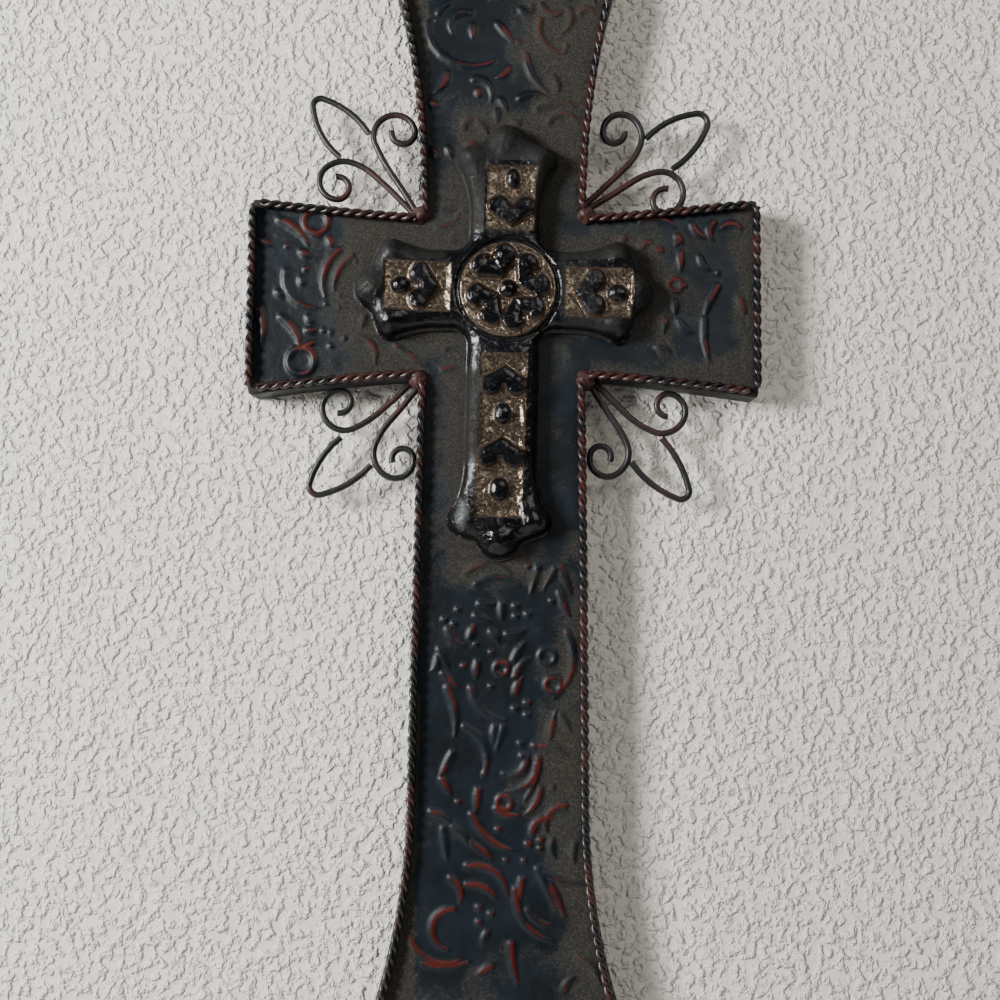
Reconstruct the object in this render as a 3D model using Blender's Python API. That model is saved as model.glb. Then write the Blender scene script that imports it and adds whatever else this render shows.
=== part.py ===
"""Decorative wall cross.

A shallow tray of embossed sheet steel in the shape of a flared cross, edged with twisted wire. Bent
wire scrolls and leaves are welded into its four inner corners, and a small glazed ceramic cross is
glued to its middle. A flat strap with a nail hole spans the back of the top arm.

Metres, +Z up. The front faces -Y and the wall is the plane y = 0. The origin is on the back face of
the hanger strap, just above the nail hole.
"""

import math

import bmesh
import bpy
from mathutils import Matrix, Vector
from mathutils.geometry import delaunay_2d_cdt

# Sheet steel cross. A reach is measured from the centre of the crossing to the end of that arm.
TOP_REACH = 0.1720
SIDE_REACH = 0.1306
LEG_REACH = 0.3740
UPRIGHT_WIDTH = 0.0832
SIDE_ARM_WIDTH = 0.0836
TOP_FLARE = 0.0180
SIDE_FLARE = 0.0098
LEG_TAPER = 0.0055
LEG_FLARE = 0.0195
TOP_FLARE_POWER = 2.0
SIDE_FLARE_POWER = 1.35
LEG_FLARE_START = 0.65
PLATE_DEPTH = 0.0160
SHEET = 0.0010
PLATE_CORNER_RADIUS = 0.0026

# Embossed scrollwork on the sheet
STROKE_WIDTH = 0.0034
STROKE_FULLEST = 0.30
STROKE_TAPER = 1.54
STROKE_HEIGHT = 0.0014
BERRY_RADIUS = 0.0019
BERRY_SPREAD = 0.0028
RELIEF_MARGIN = 0.0060

# Twisted wire edging
EDGING_DIAMETER = 0.0047
EDGING_OVERHANG = 0.0010
EDGING_END_INSET = 0.0016
STRAND_REPEAT = 0.0060

# Bent round wire in the inner corners. Each bend is a length of wire and the degrees that it turns by.
WIRE_DIAMETER = 0.0033
WIRE_SETBACK = 0.0048
UPRIGHT_STEM_ANGLE = 60.0
SIDE_STEM_ANGLE = 25.6
UPRIGHT_STEM_HEADING = 51.8
SIDE_STEM_HEADING = 48.6
UPRIGHT_SCROLL_BENDS = ((0.0202, 3.6), (0.0188, 12.0), (0.0351, 181.0), (0.0226, 208.0))
SIDE_SCROLL_BENDS = ((0.0304, 10.0), (0.0179, 49.0), (0.0281, 160.0), (0.0210, 196.0))
LEAF_BENDS = ((0.0315, -40.0), (0.0081, -114.0), (0.0315, -45.0))
UPRIGHT_LEAF_FOOT = 0.0440
SIDE_LEAF_FOOT = 0.0459
LEAF_FOOT_SPACE = 1.8

# Weld lumps
WELD_RADIUS = 0.0060
WELD_DEPTH = 0.0150
WELD_OFFSET = 0.0014

# Ceramic cross. Its reaches are measured from the centre of its medallion.
CERAMIC_TOP_REACH = 0.0876
CERAMIC_SIDE_REACH = 0.0777
CERAMIC_LEG_REACH = 0.1384
CERAMIC_UPRIGHT_NECK = 0.0376
CERAMIC_SIDE_NECK = 0.0424
CERAMIC_LOBE_RADIUS = 0.0115
CERAMIC_BUD_RADIUS = 0.0080
CERAMIC_NOTCH_RADIUS = 0.0070
CERAMIC_BUD_STEM = 0.0080
CERAMIC_NECK_RADIUS = 0.0500
CERAMIC_INNER_RADIUS = 0.0070
LOBE_TURN = 62.0
NOTCH_TURN = 42.0
BUD_PLACE = (0.0195, 0.0190)
CERAMIC_LIP = 0.0016
CERAMIC_LIP_WIDTH = 0.0009
CERAMIC_SHOULDER = 0.0070
CERAMIC_BODY = 0.0098
CERAMIC_BOSS = 0.0022
CERAMIC_BOSS_RADIUS = 0.0070
PANEL_HALF_WIDTH = 0.0123
PANEL_FLOOR = 0.0088
PANEL_WALL = 0.0010
TOP_PANEL = (0.0300, 0.0636)
SIDE_PANEL = (0.0300, 0.0632)
LEG_PANEL = (0.0328, 0.1152)
MEDALLION_RADIUS = 0.0248
MEDALLION_RIM = 0.0024
MEDALLION_FLOOR = 0.0100
MOTIF_HEIGHT = 0.0026
MOTIF_WALL = 0.0011
HEART_LENGTH = 0.0166
HEART_LOBE = 0.0058
PETAL_LENGTH = 0.0175
PETAL_LOBE = 0.0050
PETAL_START = 0.0046
BEAD_RADIUS = 0.0048
BEAD_HEIGHT = 0.0036
HEART_SPREAD = 1.0
HEART_ARC = (-40.0, 160.0)
HEART_NOTCH = 0.1
BEAD_SPACE = 0.0078
LEG_HEARTS = (0.0378, 0.0746)
LEG_BEADS = (0.0641, 0.1020)
SHOULDER_FOLDS = (0.35, 0.68)
BOSS_FOLD = 0.45
BEAD_FOLD = 0.6
CERAMIC_SHIFT = 0.0009
CERAMIC_RISE = 0.0022
CERAMIC_TILT = 0.95

# Hanger strap
MOUNT_ABOVE_CROSSING = 0.1280
STRAP_THICKNESS = 0.0020
STRAP_ABOVE_HOLE = 0.0150
STRAP_BELOW_HOLE = 0.0100
NAIL_HOLE_RADIUS = 0.0040
HOLE_BELOW_MOUNT = 0.0090

# Clearance between pieces that touch, and the distance under which points are one
GAP = 0.0003
MERGE = 0.00001

# Fineness of round shapes
BEND_STEP = 30.0
RELIEF_STEP = 42.0
LEAF_STEP = 14.0
HEART_STEPS = 4
MEDALLION_SIDES = 20
WIRE_SIDES = 6
EDGING_STATIONS = 12
BERRY_SIDES = 6
BEAD_SIDES = 10
CORNER_STEPS = 3
HOLE_SIDES = 24
SHARP_ANGLE = 35.0

CROSSING_Z = -MOUNT_ABOVE_CROSSING
PLATE_FRONT = -PLATE_DEPTH
EDGING_RADIUS = EDGING_DIAMETER / 2
WIRE_RADIUS = WIRE_DIAMETER / 2

ARMS = {
    "top": {"out": (0, 1), "reach": TOP_REACH, "root": UPRIGHT_WIDTH / 2, "start": SIDE_ARM_WIDTH / 2,
            "taper": 0.0, "flare": TOP_FLARE, "from": 0.0, "power": TOP_FLARE_POWER, "stations": 6},
    "left": {"out": (-1, 0), "reach": SIDE_REACH, "root": SIDE_ARM_WIDTH / 2, "start": UPRIGHT_WIDTH / 2,
             "taper": 0.0, "flare": SIDE_FLARE, "from": 0.0, "power": SIDE_FLARE_POWER, "stations": 4},
    "leg": {"out": (0, -1), "reach": LEG_REACH, "root": UPRIGHT_WIDTH / 2, "start": SIDE_ARM_WIDTH / 2,
            "taper": LEG_TAPER, "flare": LEG_FLARE, "from": LEG_FLARE_START, "power": 2.0, "stations": 10},
    "right": {"out": (1, 0), "reach": SIDE_REACH, "root": SIDE_ARM_WIDTH / 2, "start": UPRIGHT_WIDTH / 2,
              "taper": 0.0, "flare": SIDE_FLARE, "from": 0.0, "power": SIDE_FLARE_POWER, "stations": 4},
}

# Inner corners: side of the upright, side of the arm, and how far the wire work leans towards the upright
CORNERS = {
    "upper_left": (-1, 1, 0.0),
    "upper_right": (1, 1, -4.0),
    "lower_left": (-1, -1, 0.0),
    "lower_right": (1, -1, 2.0),
}


def turned(point, degrees):
    angle = math.radians(degrees)
    x, z = point
    return (x * math.cos(angle) - z * math.sin(angle), x * math.sin(angle) + z * math.cos(angle))


def bent_line(start, heading, bends, step=BEND_STEP):
    """Points of a line bent like wire: each bend is a length and the angle it turns by along that length."""
    points = [start]
    x, z = start
    for length, turn in bends:
        count = max(1, math.ceil(abs(turn) / step))
        for _ in range(count):
            middle = math.radians(heading + turn / count / 2)
            x += length / count * math.cos(middle)
            z += length / count * math.sin(middle)
            heading += turn / count
            points.append((x, z))
    return points


def clear_scene():
    for old in list(bpy.data.objects):
        bpy.data.objects.remove(old, do_unlink=True)


def material(name, colour, roughness, metallic):
    new = bpy.data.materials.new(name)
    new.use_nodes = True
    shader = new.node_tree.nodes["Principled BSDF"]
    shader.inputs["Base Color"].default_value = (*colour, 1.0)
    shader.inputs["Roughness"].default_value = roughness
    shader.inputs["Metallic"].default_value = metallic
    return new


def add_object(name, bm, finish=None):
    mesh = bpy.data.meshes.new(name)
    bm.normal_update()
    bmesh.ops.recalc_face_normals(bm, faces=bm.faces)
    bm.to_mesh(mesh)
    bm.free()
    if finish:
        mesh.materials.append(finish)
    mesh.shade_smooth()
    mesh.set_sharp_from_angle(angle=math.radians(SHARP_ANGLE))
    new = bpy.data.objects.new(name, mesh)
    bpy.context.collection.objects.link(new)
    return new


def add_cutter(name, bm):
    cutter = add_object(name, bm)
    cutter.hide_render = True
    cutter.display_type = "WIRE"
    return cutter


def cut(target, cutter):
    boolean = target.modifiers.new("cut", "BOOLEAN")
    boolean.operation = "DIFFERENCE"
    boolean.object = cutter


def half_width(arm, distance):
    """Half the sheet's width across an arm, at a distance from the centre of the crossing."""
    share = (distance - arm["start"]) / (arm["reach"] - arm["start"])
    share = max(0.0, share)
    flared = max(0.0, share - arm["from"]) / (1.0 - arm["from"])
    return arm["root"] + arm["taper"] * share + arm["flare"] * flared ** arm["power"]


def on_arm(arm, distance, across):
    """A point on an arm. Across is positive to the right as one looks outwards along the arm."""
    ox, oz = arm["out"]
    return (ox * distance + oz * across, CROSSING_Z + oz * distance - ox * across)


def side_distances(arm, start, end):
    count = arm["stations"]
    return [start + (end - start) * index / count for index in range(count + 1)]


def rounded_corner(before, corner, after, radius):
    """The points of an arc that rounds a corner of an outline."""
    corner = Vector(corner)
    inward = (Vector(before) - corner).normalized()
    outward = (Vector(after) - corner).normalized()
    half = inward.angle(outward) / 2
    reach = radius / math.tan(half)
    centre = corner + (inward + outward).normalized() * (radius / math.sin(half))
    first = corner + inward * reach - centre
    last = corner + outward * reach - centre
    points = []
    for index in range(CORNER_STEPS + 1):
        spoke = first.lerp(last, index / CORNER_STEPS).normalized() * radius
        points.append(tuple(centre + spoke))
    return points


def plate_outline(grow=0.0):
    """The sheet's outline, anticlockwise from the front, or one that is larger all round."""
    outline = []
    for arm in ARMS.values():
        distances = side_distances(arm, arm["start"] + grow, arm["reach"] + grow)
        right = [on_arm(arm, distance, half_width(arm, distance) + grow) for distance in distances]
        left = [on_arm(arm, distance, -half_width(arm, distance) - grow) for distance in reversed(distances)]
        outline += right[:-1]
        outline += rounded_corner(right[-2], right[-1], left[0], PLATE_CORNER_RADIUS)
        outline += rounded_corner(right[-1], left[0], left[1], PLATE_CORNER_RADIUS)
        outline += left[1:-1]
    return outline


# Scrollwork motifs. Each stroke is a start, a heading, a length and a turn, in shares of the arm's width.
MOTIFS = {
    "arch": ((-0.15, -0.04, 48, 0.31, -98), (-0.10, -0.11, 38, 0.27, -76)),
    "hook": ((0.00, 0.00, -86, 0.23, -135), (0.07, 0.01, -84, 0.32, -108), (0.08, -0.17, -96, 0.18, -52)),
    "fan": ((0.00, 0.00, -62, 0.28, -12), (0.03, -0.01, -30, 0.24, 32), (0.07, -0.09, -60, 0.21, -14)),
    "wave": ((0.00, 0.00, -18, 0.36, -104), (0.00, -0.30, -64, 0.14, -10)),
    "spray": ((0.00, 0.00, -80, 0.32, 84), (0.02, 0.06, -95, 0.11, 8), (0.17, -0.02, 76, 0.12, -34)),
    "plume": ((0.00, 0.00, 18, 0.34, -104), (0.00, -0.11, 12, 0.21, -72), (0.02, 0.09, -28, 0.15, -24)),
    "clasp": ((0.10, 0.03, 176, 0.33, 178),),
    "sickle": ((0.00, 0.00, -68, 0.35, 92), (0.08, -0.13, -16, 0.27, 36)),
    "comma": ((0.00, 0.00, -70, 0.12, 44),),
    "leaf": ((0.00, 0.00, -110, 0.15, -8),),
    "curl": ((0.03, 0.00, 90, 0.20, 290),),
}

# Where the motifs are: arm, motif, share of the reach, share of the half width, turn, and mirrored or not
SCROLLWORK = (
    ("leg", "arch", 0.39, 0.00, 0, 1), ("leg", "comma", 0.44, -0.32, 50, 1),
    ("leg", "leaf", 0.37, 0.48, 10, 1), ("leg", "leaf", 0.38, 0.74, 42, 1),
    ("leg", "comma", 0.455, -0.60, 0, 1), ("leg", "curl", 0.49, 0.52, 0, 1),
    ("leg", "comma", 0.46, 0.12, 90, 1), ("leg", "leaf", 0.485, 0.24, -30, 1),
    ("leg", "curl", 0.51, 0.02, 40, 1), ("leg", "wave", 0.535, -0.58, -40, 1),
    ("leg", "spray", 0.535, -0.28, 0, 1), ("leg", "curl", 0.53, 0.60, 120, 1),
    ("leg", "leaf", 0.565, 0.62, -15, 1), ("leg", "wave", 0.585, -0.34, 0, 1),
    ("leg", "leaf", 0.585, -0.02, 20, 1), ("leg", "leaf", 0.615, -0.56, -8, 1),
    ("leg", "hook", 0.628, 0.28, 0, 1), ("leg", "comma", 0.655, -0.66, 0, 1),
    ("leg", "spray", 0.680, -0.22, -14, 1), ("leg", "curl", 0.685, 0.10, 0, 1),
    ("leg", "comma", 0.685, 0.66, 150, 1), ("leg", "wave", 0.705, -0.70, 0, 1),
    ("leg", "comma", 0.722, 0.58, 0, 1), ("leg", "curl", 0.728, 0.34, 60, 1),
    ("leg", "plume", 0.770, -0.30, 0, 1), ("leg", "comma", 0.785, -0.52, -40, -1),
    ("leg", "fan", 0.770, 0.42, 0, 1), ("leg", "sickle", 0.795, 0.20, -10, 1),
    ("leg", "clasp", 0.822, -0.56, 0, 1), ("leg", "sickle", 0.858, -0.78, 0, 1),
    ("leg", "comma", 0.868, 0.10, 20, 1), ("leg", "plume", 0.885, 0.62, -10, 1),
    ("leg", "comma", 0.895, -0.10, 90, 1), ("leg", "arch", 0.930, -0.30, 0, 1),
    ("leg", "spray", 0.925, 0.28, 0, 1), ("top", "arch", 0.66, -0.30, 180, 1),
    ("top", "comma", 0.72, -0.34, 120, 1), ("top", "leaf", 0.60, 0.16, 20, 1),
    ("top", "comma", 0.60, -0.16, 150, 1), ("top", "sickle", 0.80, 0.36, 0, 1),
    ("top", "leaf", 0.67, 0.22, 30, 1), ("top", "plume", 0.575, 0.40, 0, 1),
    ("top", "curl", 0.75, -0.14, 0, 1), ("top", "fan", 0.88, -0.55, 0, 1),
    ("top", "curl", 0.83, 0.62, 40, 1), ("top", "comma", 0.54, -0.42, 60, 1),
    ("top", "spray", 0.92, 0.05, 0, 1), ("left", "wave", 0.86, 0.50, 50, 1),
    ("left", "sickle", 0.80, -0.02, 90, 1), ("left", "leaf", 0.86, -0.45, 30, 1),
    ("left", "curl", 0.74, 0.10, 0, 1), ("left", "comma", 0.70, -0.55, 20, 1),
    ("left", "curl", 0.82, -0.74, 0, 1), ("right", "wave", 0.72, -0.55, 10, 1),
    ("right", "leaf", 0.72, 0.10, 60, 1), ("right", "curl", 0.70, -0.05, 0, 1),
    ("right", "plume", 0.84, 0.30, -60, 1), ("right", "comma", 0.80, -0.62, 0, 1),
    ("right", "comma", 0.76, 0.50, 0, 1),
)

# Groups of three berries: arm, share of the reach, share of the half width
BERRIES = (
    ("leg", 0.428, 0.20), ("leg", 0.438, -0.52), ("leg", 0.558, 0.22),
    ("leg", 0.612, 0.24), ("leg", 0.735, 0.36), ("leg", 0.828, -0.12),
    ("left", 0.78, -0.36), ("left", 0.66, 0.30), ("right", 0.74, 0.02),
    ("top", 0.70, 0.56),
)


def relief_point(arm, x, z):
    """A point of the relief, from the centre of the crossing, kept inside the edging of its arm."""
    ox, oz = arm["out"]
    distance = min(x * ox + z * oz, arm["reach"] - RELIEF_MARGIN)
    limit = half_width(arm, distance) - RELIEF_MARGIN
    if oz:
        return (max(-limit, min(limit, x)), CROSSING_Z + oz * distance)
    return (ox * distance, CROSSING_Z + max(-limit, min(limit, z)))


def relief_place(arm, along, across):
    ox, oz = arm["out"]
    distance = arm["reach"] * along
    side = half_width(arm, distance) * across
    return (ox * distance + abs(oz) * side, oz * distance + abs(ox) * side)


def relief_strokes():
    """The middle lines of the embossed strokes, as lists of points."""
    strokes = []
    for arm_name, motif, along, across, turn, hand in SCROLLWORK:
        arm = ARMS[arm_name]
        width = 2 * arm["root"]
        x, z = relief_place(arm, along, across)
        for start_x, start_z, heading, length, bend in MOTIFS[motif]:
            dx, dz = turned((start_x * width * hand, start_z * width), turn)
            direction = turn + (heading if hand > 0 else 180 - heading)
            line = bent_line((x + dx, z + dz), direction, ((length * width, bend * hand),), RELIEF_STEP)
            strokes.append([Vector(relief_point(arm, *point)) for point in line])
    return strokes


def relief_berries():
    """The middles of the berries, three to a group."""
    middles = []
    for arm_name, along, across in BERRIES:
        arm = ARMS[arm_name]
        x, z = relief_place(arm, along, across)
        for index in range(3):
            dx, dz = turned((BERRY_SPREAD, 0.0), 120 * index)
            middles.append(Vector(relief_point(arm, x + dx, z + dz)))
    return middles


def stroke_half_width(share):
    """Half a stroke's width, from its round head at share 0 to its thin tail at share 1."""
    return STROKE_WIDTH / 2 * (1.0 - STROKE_TAPER * (share - STROKE_FULLEST) ** 2)


def relief_height(point, strokes, berries, covered):
    if distance_inside(point, covered) > -GAP:
        return 0.0
    height = 0.0
    for line in strokes:
        if (line[0] - point).length > STROKE_WIDTH + line_length(line):
            continue
        for index in range(len(line) - 1):
            run = line[index + 1] - line[index]
            if run.length < GAP:
                continue
            share = max(0.0, min(1.0, (point - line[index]).dot(run) / run.length_squared))
            away = (line[index] + run * share - point).length
            half = stroke_half_width((index + share) / (len(line) - 1))
            height = max(height, STROKE_HEIGHT * half / (STROKE_WIDTH / 2) * (1 - away / half))
    for middle in berries:
        height = max(height, STROKE_HEIGHT * (1 - (middle - point).length / BERRY_RADIUS))
    return height


def line_length(line):
    return sum((line[index + 1] - line[index]).length for index in range(len(line) - 1))


def stroke_sides(line):
    """The outline of one stroke, round its tapered middle line."""
    left, right = [], []
    for index, point in enumerate(line):
        before = line[max(0, index - 1)]
        after = line[min(len(line) - 1, index + 1)]
        along = (after - before).normalized()
        side = Vector((-along.y, along.x)) * stroke_half_width(index / (len(line) - 1))
        left.append(point + side)
        right.append(point - side)
    right.reverse()
    return left + right


def circle(middle, radius, count, turn=0.0):
    spokes = [turned((radius, 0.0), turn + 360 * index / count) for index in range(count)]
    return [Vector(middle) + Vector(spoke) for spoke in spokes]


class Drawing:
    """Points and lines drawn on a plane, which become the folds of a surface."""

    def __init__(self, outline):
        self.points = []
        self.lines = []
        self.outline = self.add(outline)

    def add(self, points):
        first = len(self.points)
        self.points += [Vector(point) for point in points]
        return list(range(first, len(self.points)))

    def loop(self, points):
        ids = self.add(points)
        self.lines += [(ids[index - 1], ids[index]) for index in range(len(ids))]

    def line(self, points):
        ids = self.add(points)
        self.lines += [(ids[index - 1], ids[index]) for index in range(1, len(ids))]

    def surface(self, height, back):
        """A bmesh whose front face is folded along the lines and raised by height, in front of y = back."""
        points, _, faces, _, _, _ = delaunay_2d_cdt(self.points, self.lines, [self.outline], 1, MERGE)
        bm = bmesh.new()
        verts = [bm.verts.new((point.x, back - height(point), point.y)) for point in points]
        for face in faces:
            bm.faces.new([verts[index] for index in face])
        bmesh.ops.triangulate(bm, faces=bm.faces)
        loose = [vert for vert in bm.verts if not vert.link_faces]
        bmesh.ops.delete(bm, geom=loose, context="VERTS")
        return bm


def extrude_border(bm, back):
    """Walls from the border of an open surface back to the plane y = back, and the face that closes them."""
    border = [edge for edge in bm.edges if edge.is_boundary]
    walls = bmesh.ops.extrude_edge_only(bm, edges=border)["geom"]
    for part in walls:
        if isinstance(part, bmesh.types.BMVert):
            part.co.y = back
    rear = [edge for edge in bm.edges if edge.is_boundary]
    return bmesh.ops.contextual_create(bm, geom=rear)["faces"][0]


def make_plate(finish):
    strokes = relief_strokes()
    berries = relief_berries()
    covered = placed_ceramic(ceramic_outline())
    drawing = Drawing(plate_outline())
    for line in strokes:
        drawing.loop(stroke_sides(line))
        drawing.line(line)
    for middle in berries:
        drawing.loop(circle(middle, BERRY_RADIUS, BERRY_SIDES))
        drawing.add([middle])
    bm = drawing.surface(lambda point: relief_height(point, strokes, berries, covered), PLATE_FRONT)
    rear = extrude_border(bm, 0.0)
    bmesh.ops.recalc_face_normals(bm, faces=bm.faces)
    bmesh.ops.inset_region(bm, faces=[rear], thickness=SHEET, use_even_offset=True)
    inner = bmesh.ops.extrude_face_region(bm, geom=[rear])["geom"]
    inner_verts = [part for part in inner if isinstance(part, bmesh.types.BMVert)]
    bmesh.ops.translate(bm, verts=inner_verts, vec=(0, SHEET - PLATE_DEPTH, 0))
    if rear.is_valid:
        bm.faces.remove(rear)
    return add_object("embossed_plate", bm, finish)


def edging_inset(arm, distance):
    share = (distance - arm["start"]) / (arm["reach"] - arm["start"])
    return EDGING_RADIUS - EDGING_OVERHANG + EDGING_END_INSET * share ** 2


def edging_side(arm, hand):
    """The middle line of the edging along one side of an arm, from the inner corner to the end."""
    start = arm["start"] + WELD_RADIUS + GAP
    end = arm["reach"] - 2 * EDGING_DIAMETER
    distances = [start + (end - start) * index / EDGING_STATIONS for index in range(EDGING_STATIONS + 1)]
    return [Vector(on_arm(arm, d, hand * (half_width(arm, d) - edging_inset(arm, d)))) for d in distances]


def edging_end(arm):
    distance = arm["reach"] - EDGING_RADIUS + EDGING_OVERHANG
    across = half_width(arm, arm["reach"]) - EDGING_DIAMETER
    return [Vector(on_arm(arm, distance, -across)), Vector(on_arm(arm, distance, across))]


def even_points(line, spacing):
    """Points at equal distances along a line, about one spacing apart, each with its direction."""
    total = line_length(line)
    count = max(2, round(total / spacing))
    points = []
    for step in range(count + 1):
        left = total * step / count
        for index in range(len(line) - 1):
            run = line[index + 1] - line[index]
            if left <= run.length or index == len(line) - 2:
                points.append((line[index] + run * (left / run.length), run.normalized()))
                break
            left -= run.length
    return points


def make_edging(name, line, finish):
    """Two twisted strands as one bar of square section that turns a quarter each strand."""
    bm = bmesh.new()
    middle_y = PLATE_FRONT - GAP - EDGING_RADIUS
    rings = []
    for index, (point, along) in enumerate(even_points(line, STRAND_REPEAT)):
        side = Vector((-along.y, 0.0, along.x))
        face = Vector((0.0, 1.0, 0.0))
        ring = []
        for corner in range(4):
            angle = math.radians(90 * corner)
            offset = side * math.cos(angle) + face * math.sin(angle)
            ring.append(bm.verts.new(Vector((point.x, middle_y, point.y)) + offset * EDGING_RADIUS))
        rings.append(ring)
    for ring, following in zip(rings, rings[1:]):
        for corner in range(4):
            after = (corner + 1) % 4
            bm.faces.new((ring[corner], ring[after], following[after]))
            bm.faces.new((ring[after], following[(after + 1) % 4], following[after]))
    bm.faces.new(rings[0])
    bm.faces.new(rings[-1])
    return add_object(name, bm, finish)


def make_wire(name, points, middle_y, finish):
    curve = bpy.data.curves.new(name, "CURVE")
    curve.dimensions = "3D"
    curve.bevel_depth = WIRE_RADIUS
    curve.bevel_resolution = (WIRE_SIDES - 4) // 2
    curve.use_fill_caps = True
    spline = curve.splines.new("POLY")
    spline.points.add(len(points) - 1)
    for spot, (x, z) in zip(spline.points, points):
        spot.co = (x, middle_y, z, 1.0)
    curve.materials.append(finish)
    new = bpy.data.objects.new(name, curve)
    bpy.context.collection.objects.link(new)
    return new


def corner_scroll(stem_angle, heading, bends):
    """A scroll in a corner's own frame: x outwards along the side arm and z along the upright."""
    start = Vector((WELD_OFFSET, WELD_OFFSET)) + Vector(turned((WELD_RADIUS + GAP, 0.0), stem_angle))
    return bent_line(tuple(start), heading, bends)


def leaf_line(first, second):
    """A pointed loop that stands on two feet. Its width follows the space between them."""
    loop = [Vector(point) for point in bent_line((0.0, 0.0), 0.0, LEAF_BENDS, LEAF_STEP)]
    chord = loop[-1]
    between = second - first
    out = Vector((between.y, -between.x)).normalized()
    if out.x + out.y < 0:
        out = -out
    points = []
    for point in loop:
        share = point.dot(chord) / chord.length_squared
        rise = abs(point.x * chord.y - point.y * chord.x) / chord.length
        points.append(tuple(first + between * share + out * rise))
    return points


def leaf_foot(line, along):
    """Where a leaf's foot stands: just outside a scroll, a given length along it."""
    for before, after in zip(line, line[1:]):
        step = Vector(after) - Vector(before)
        if along <= step.length or after == line[-1]:
            break
        along -= step.length
    step.normalize()
    outward = Vector((step.y, -step.x))
    return Vector(before) + step * along + outward * (WIRE_RADIUS * LEAF_FOOT_SPACE + GAP)


def placed_in_corner(points, corner):
    """Points of a corner's own frame, leant and set into one of the four inner corners."""
    side_x, side_z, lean = CORNERS[corner]
    placed = []
    for point in points:
        x, z = turned(point, lean)
        placed.append((side_x * (UPRIGHT_WIDTH / 2 + x), CROSSING_Z + side_z * (SIDE_ARM_WIDTH / 2 + z)))
    return placed


def make_corner_work(corner, finish):
    upright = corner_scroll(UPRIGHT_STEM_ANGLE, UPRIGHT_STEM_HEADING, UPRIGHT_SCROLL_BENDS)
    side = corner_scroll(90 - SIDE_STEM_ANGLE, 90 - SIDE_STEM_HEADING, SIDE_SCROLL_BENDS)
    upright_foot = leaf_foot(upright, UPRIGHT_LEAF_FOOT)
    side_foot = leaf_foot(side, SIDE_LEAF_FOOT)
    leaf = leaf_line(upright_foot, Vector((side_foot.y, side_foot.x)))
    side = [(z, x) for x, z in side]
    wires = {"upright_scroll": upright, "arm_scroll": side, "leaf_wire": leaf}
    for name, line in wires.items():
        make_wire(f"{name}_{corner}", placed_in_corner(line, corner), PLATE_FRONT + WIRE_SETBACK, finish)


def make_weld(corner, cutter, finish):
    """A lump of weld metal over an inner corner, cut away where the plate stands."""
    bm = bmesh.new()
    bmesh.ops.create_icosphere(bm, subdivisions=2, radius=WELD_RADIUS)
    bmesh.ops.scale(bm, verts=bm.verts, vec=(1.0, WELD_DEPTH / 2 / WELD_RADIUS, 1.0))
    (x, z), = placed_in_corner([(WELD_OFFSET, WELD_OFFSET)], corner)
    middle_y = PLATE_FRONT - EDGING_DIAMETER + WELD_DEPTH / 2
    bmesh.ops.translate(bm, verts=bm.verts, vec=(x, middle_y, z))
    cut(add_object(f"corner_weld_{corner}", bm, finish), cutter)


def make_plate_cutter():
    """The plate's outline with a clearance, for what is fitted against it."""
    bm = bmesh.new()
    verts = [bm.verts.new((x, PLATE_FRONT - GAP, z)) for x, z in plate_outline(GAP)]
    front = bm.faces.new(verts)
    depth = bmesh.ops.extrude_face_region(bm, geom=[front])["geom"]
    moved = [part for part in depth if isinstance(part, bmesh.types.BMVert)]
    bmesh.ops.translate(bm, verts=moved, vec=(0, PLATE_DEPTH + 2 * GAP, 0))
    return add_cutter("plate_clearance", bm)


def make_strap(finish):
    """The hanger strap, cut to fit between the walls of the top arm, with its nail hole."""
    arm = ARMS["top"]
    hole_z = -HOLE_BELOW_MOUNT
    top = hole_z + STRAP_ABOVE_HOLE
    bottom = hole_z - STRAP_BELOW_HOLE
    corners = []
    for z, hand in ((bottom, -1), (bottom, 1), (top, 1), (top, -1)):
        half = half_width(arm, z - CROSSING_Z) - SHEET - 2 * GAP
        corners.append((hand * half, z))
    bm = bmesh.new()
    back = bm.faces.new([bm.verts.new((x, 0.0, z)) for x, z in corners])
    block = bmesh.ops.extrude_face_region(bm, geom=[back])["geom"]
    moved = [part for part in block if isinstance(part, bmesh.types.BMVert)]
    bmesh.ops.translate(bm, verts=moved, vec=(0, -STRAP_THICKNESS, 0))
    strap = add_object("hanger_strap", bm, finish)
    drill = bmesh.new()
    bmesh.ops.create_cone(drill, cap_ends=True, segments=HOLE_SIDES, radius1=NAIL_HOLE_RADIUS,
                          radius2=NAIL_HOLE_RADIUS, depth=4 * STRAP_THICKNESS)
    bmesh.ops.rotate(drill, verts=drill.verts, matrix=Matrix.Rotation(math.radians(90), 3, "X"))
    bmesh.ops.translate(drill, verts=drill.verts, vec=(0, 0, hole_z))
    cut(strap, add_cutter("nail_drill", drill))


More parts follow.
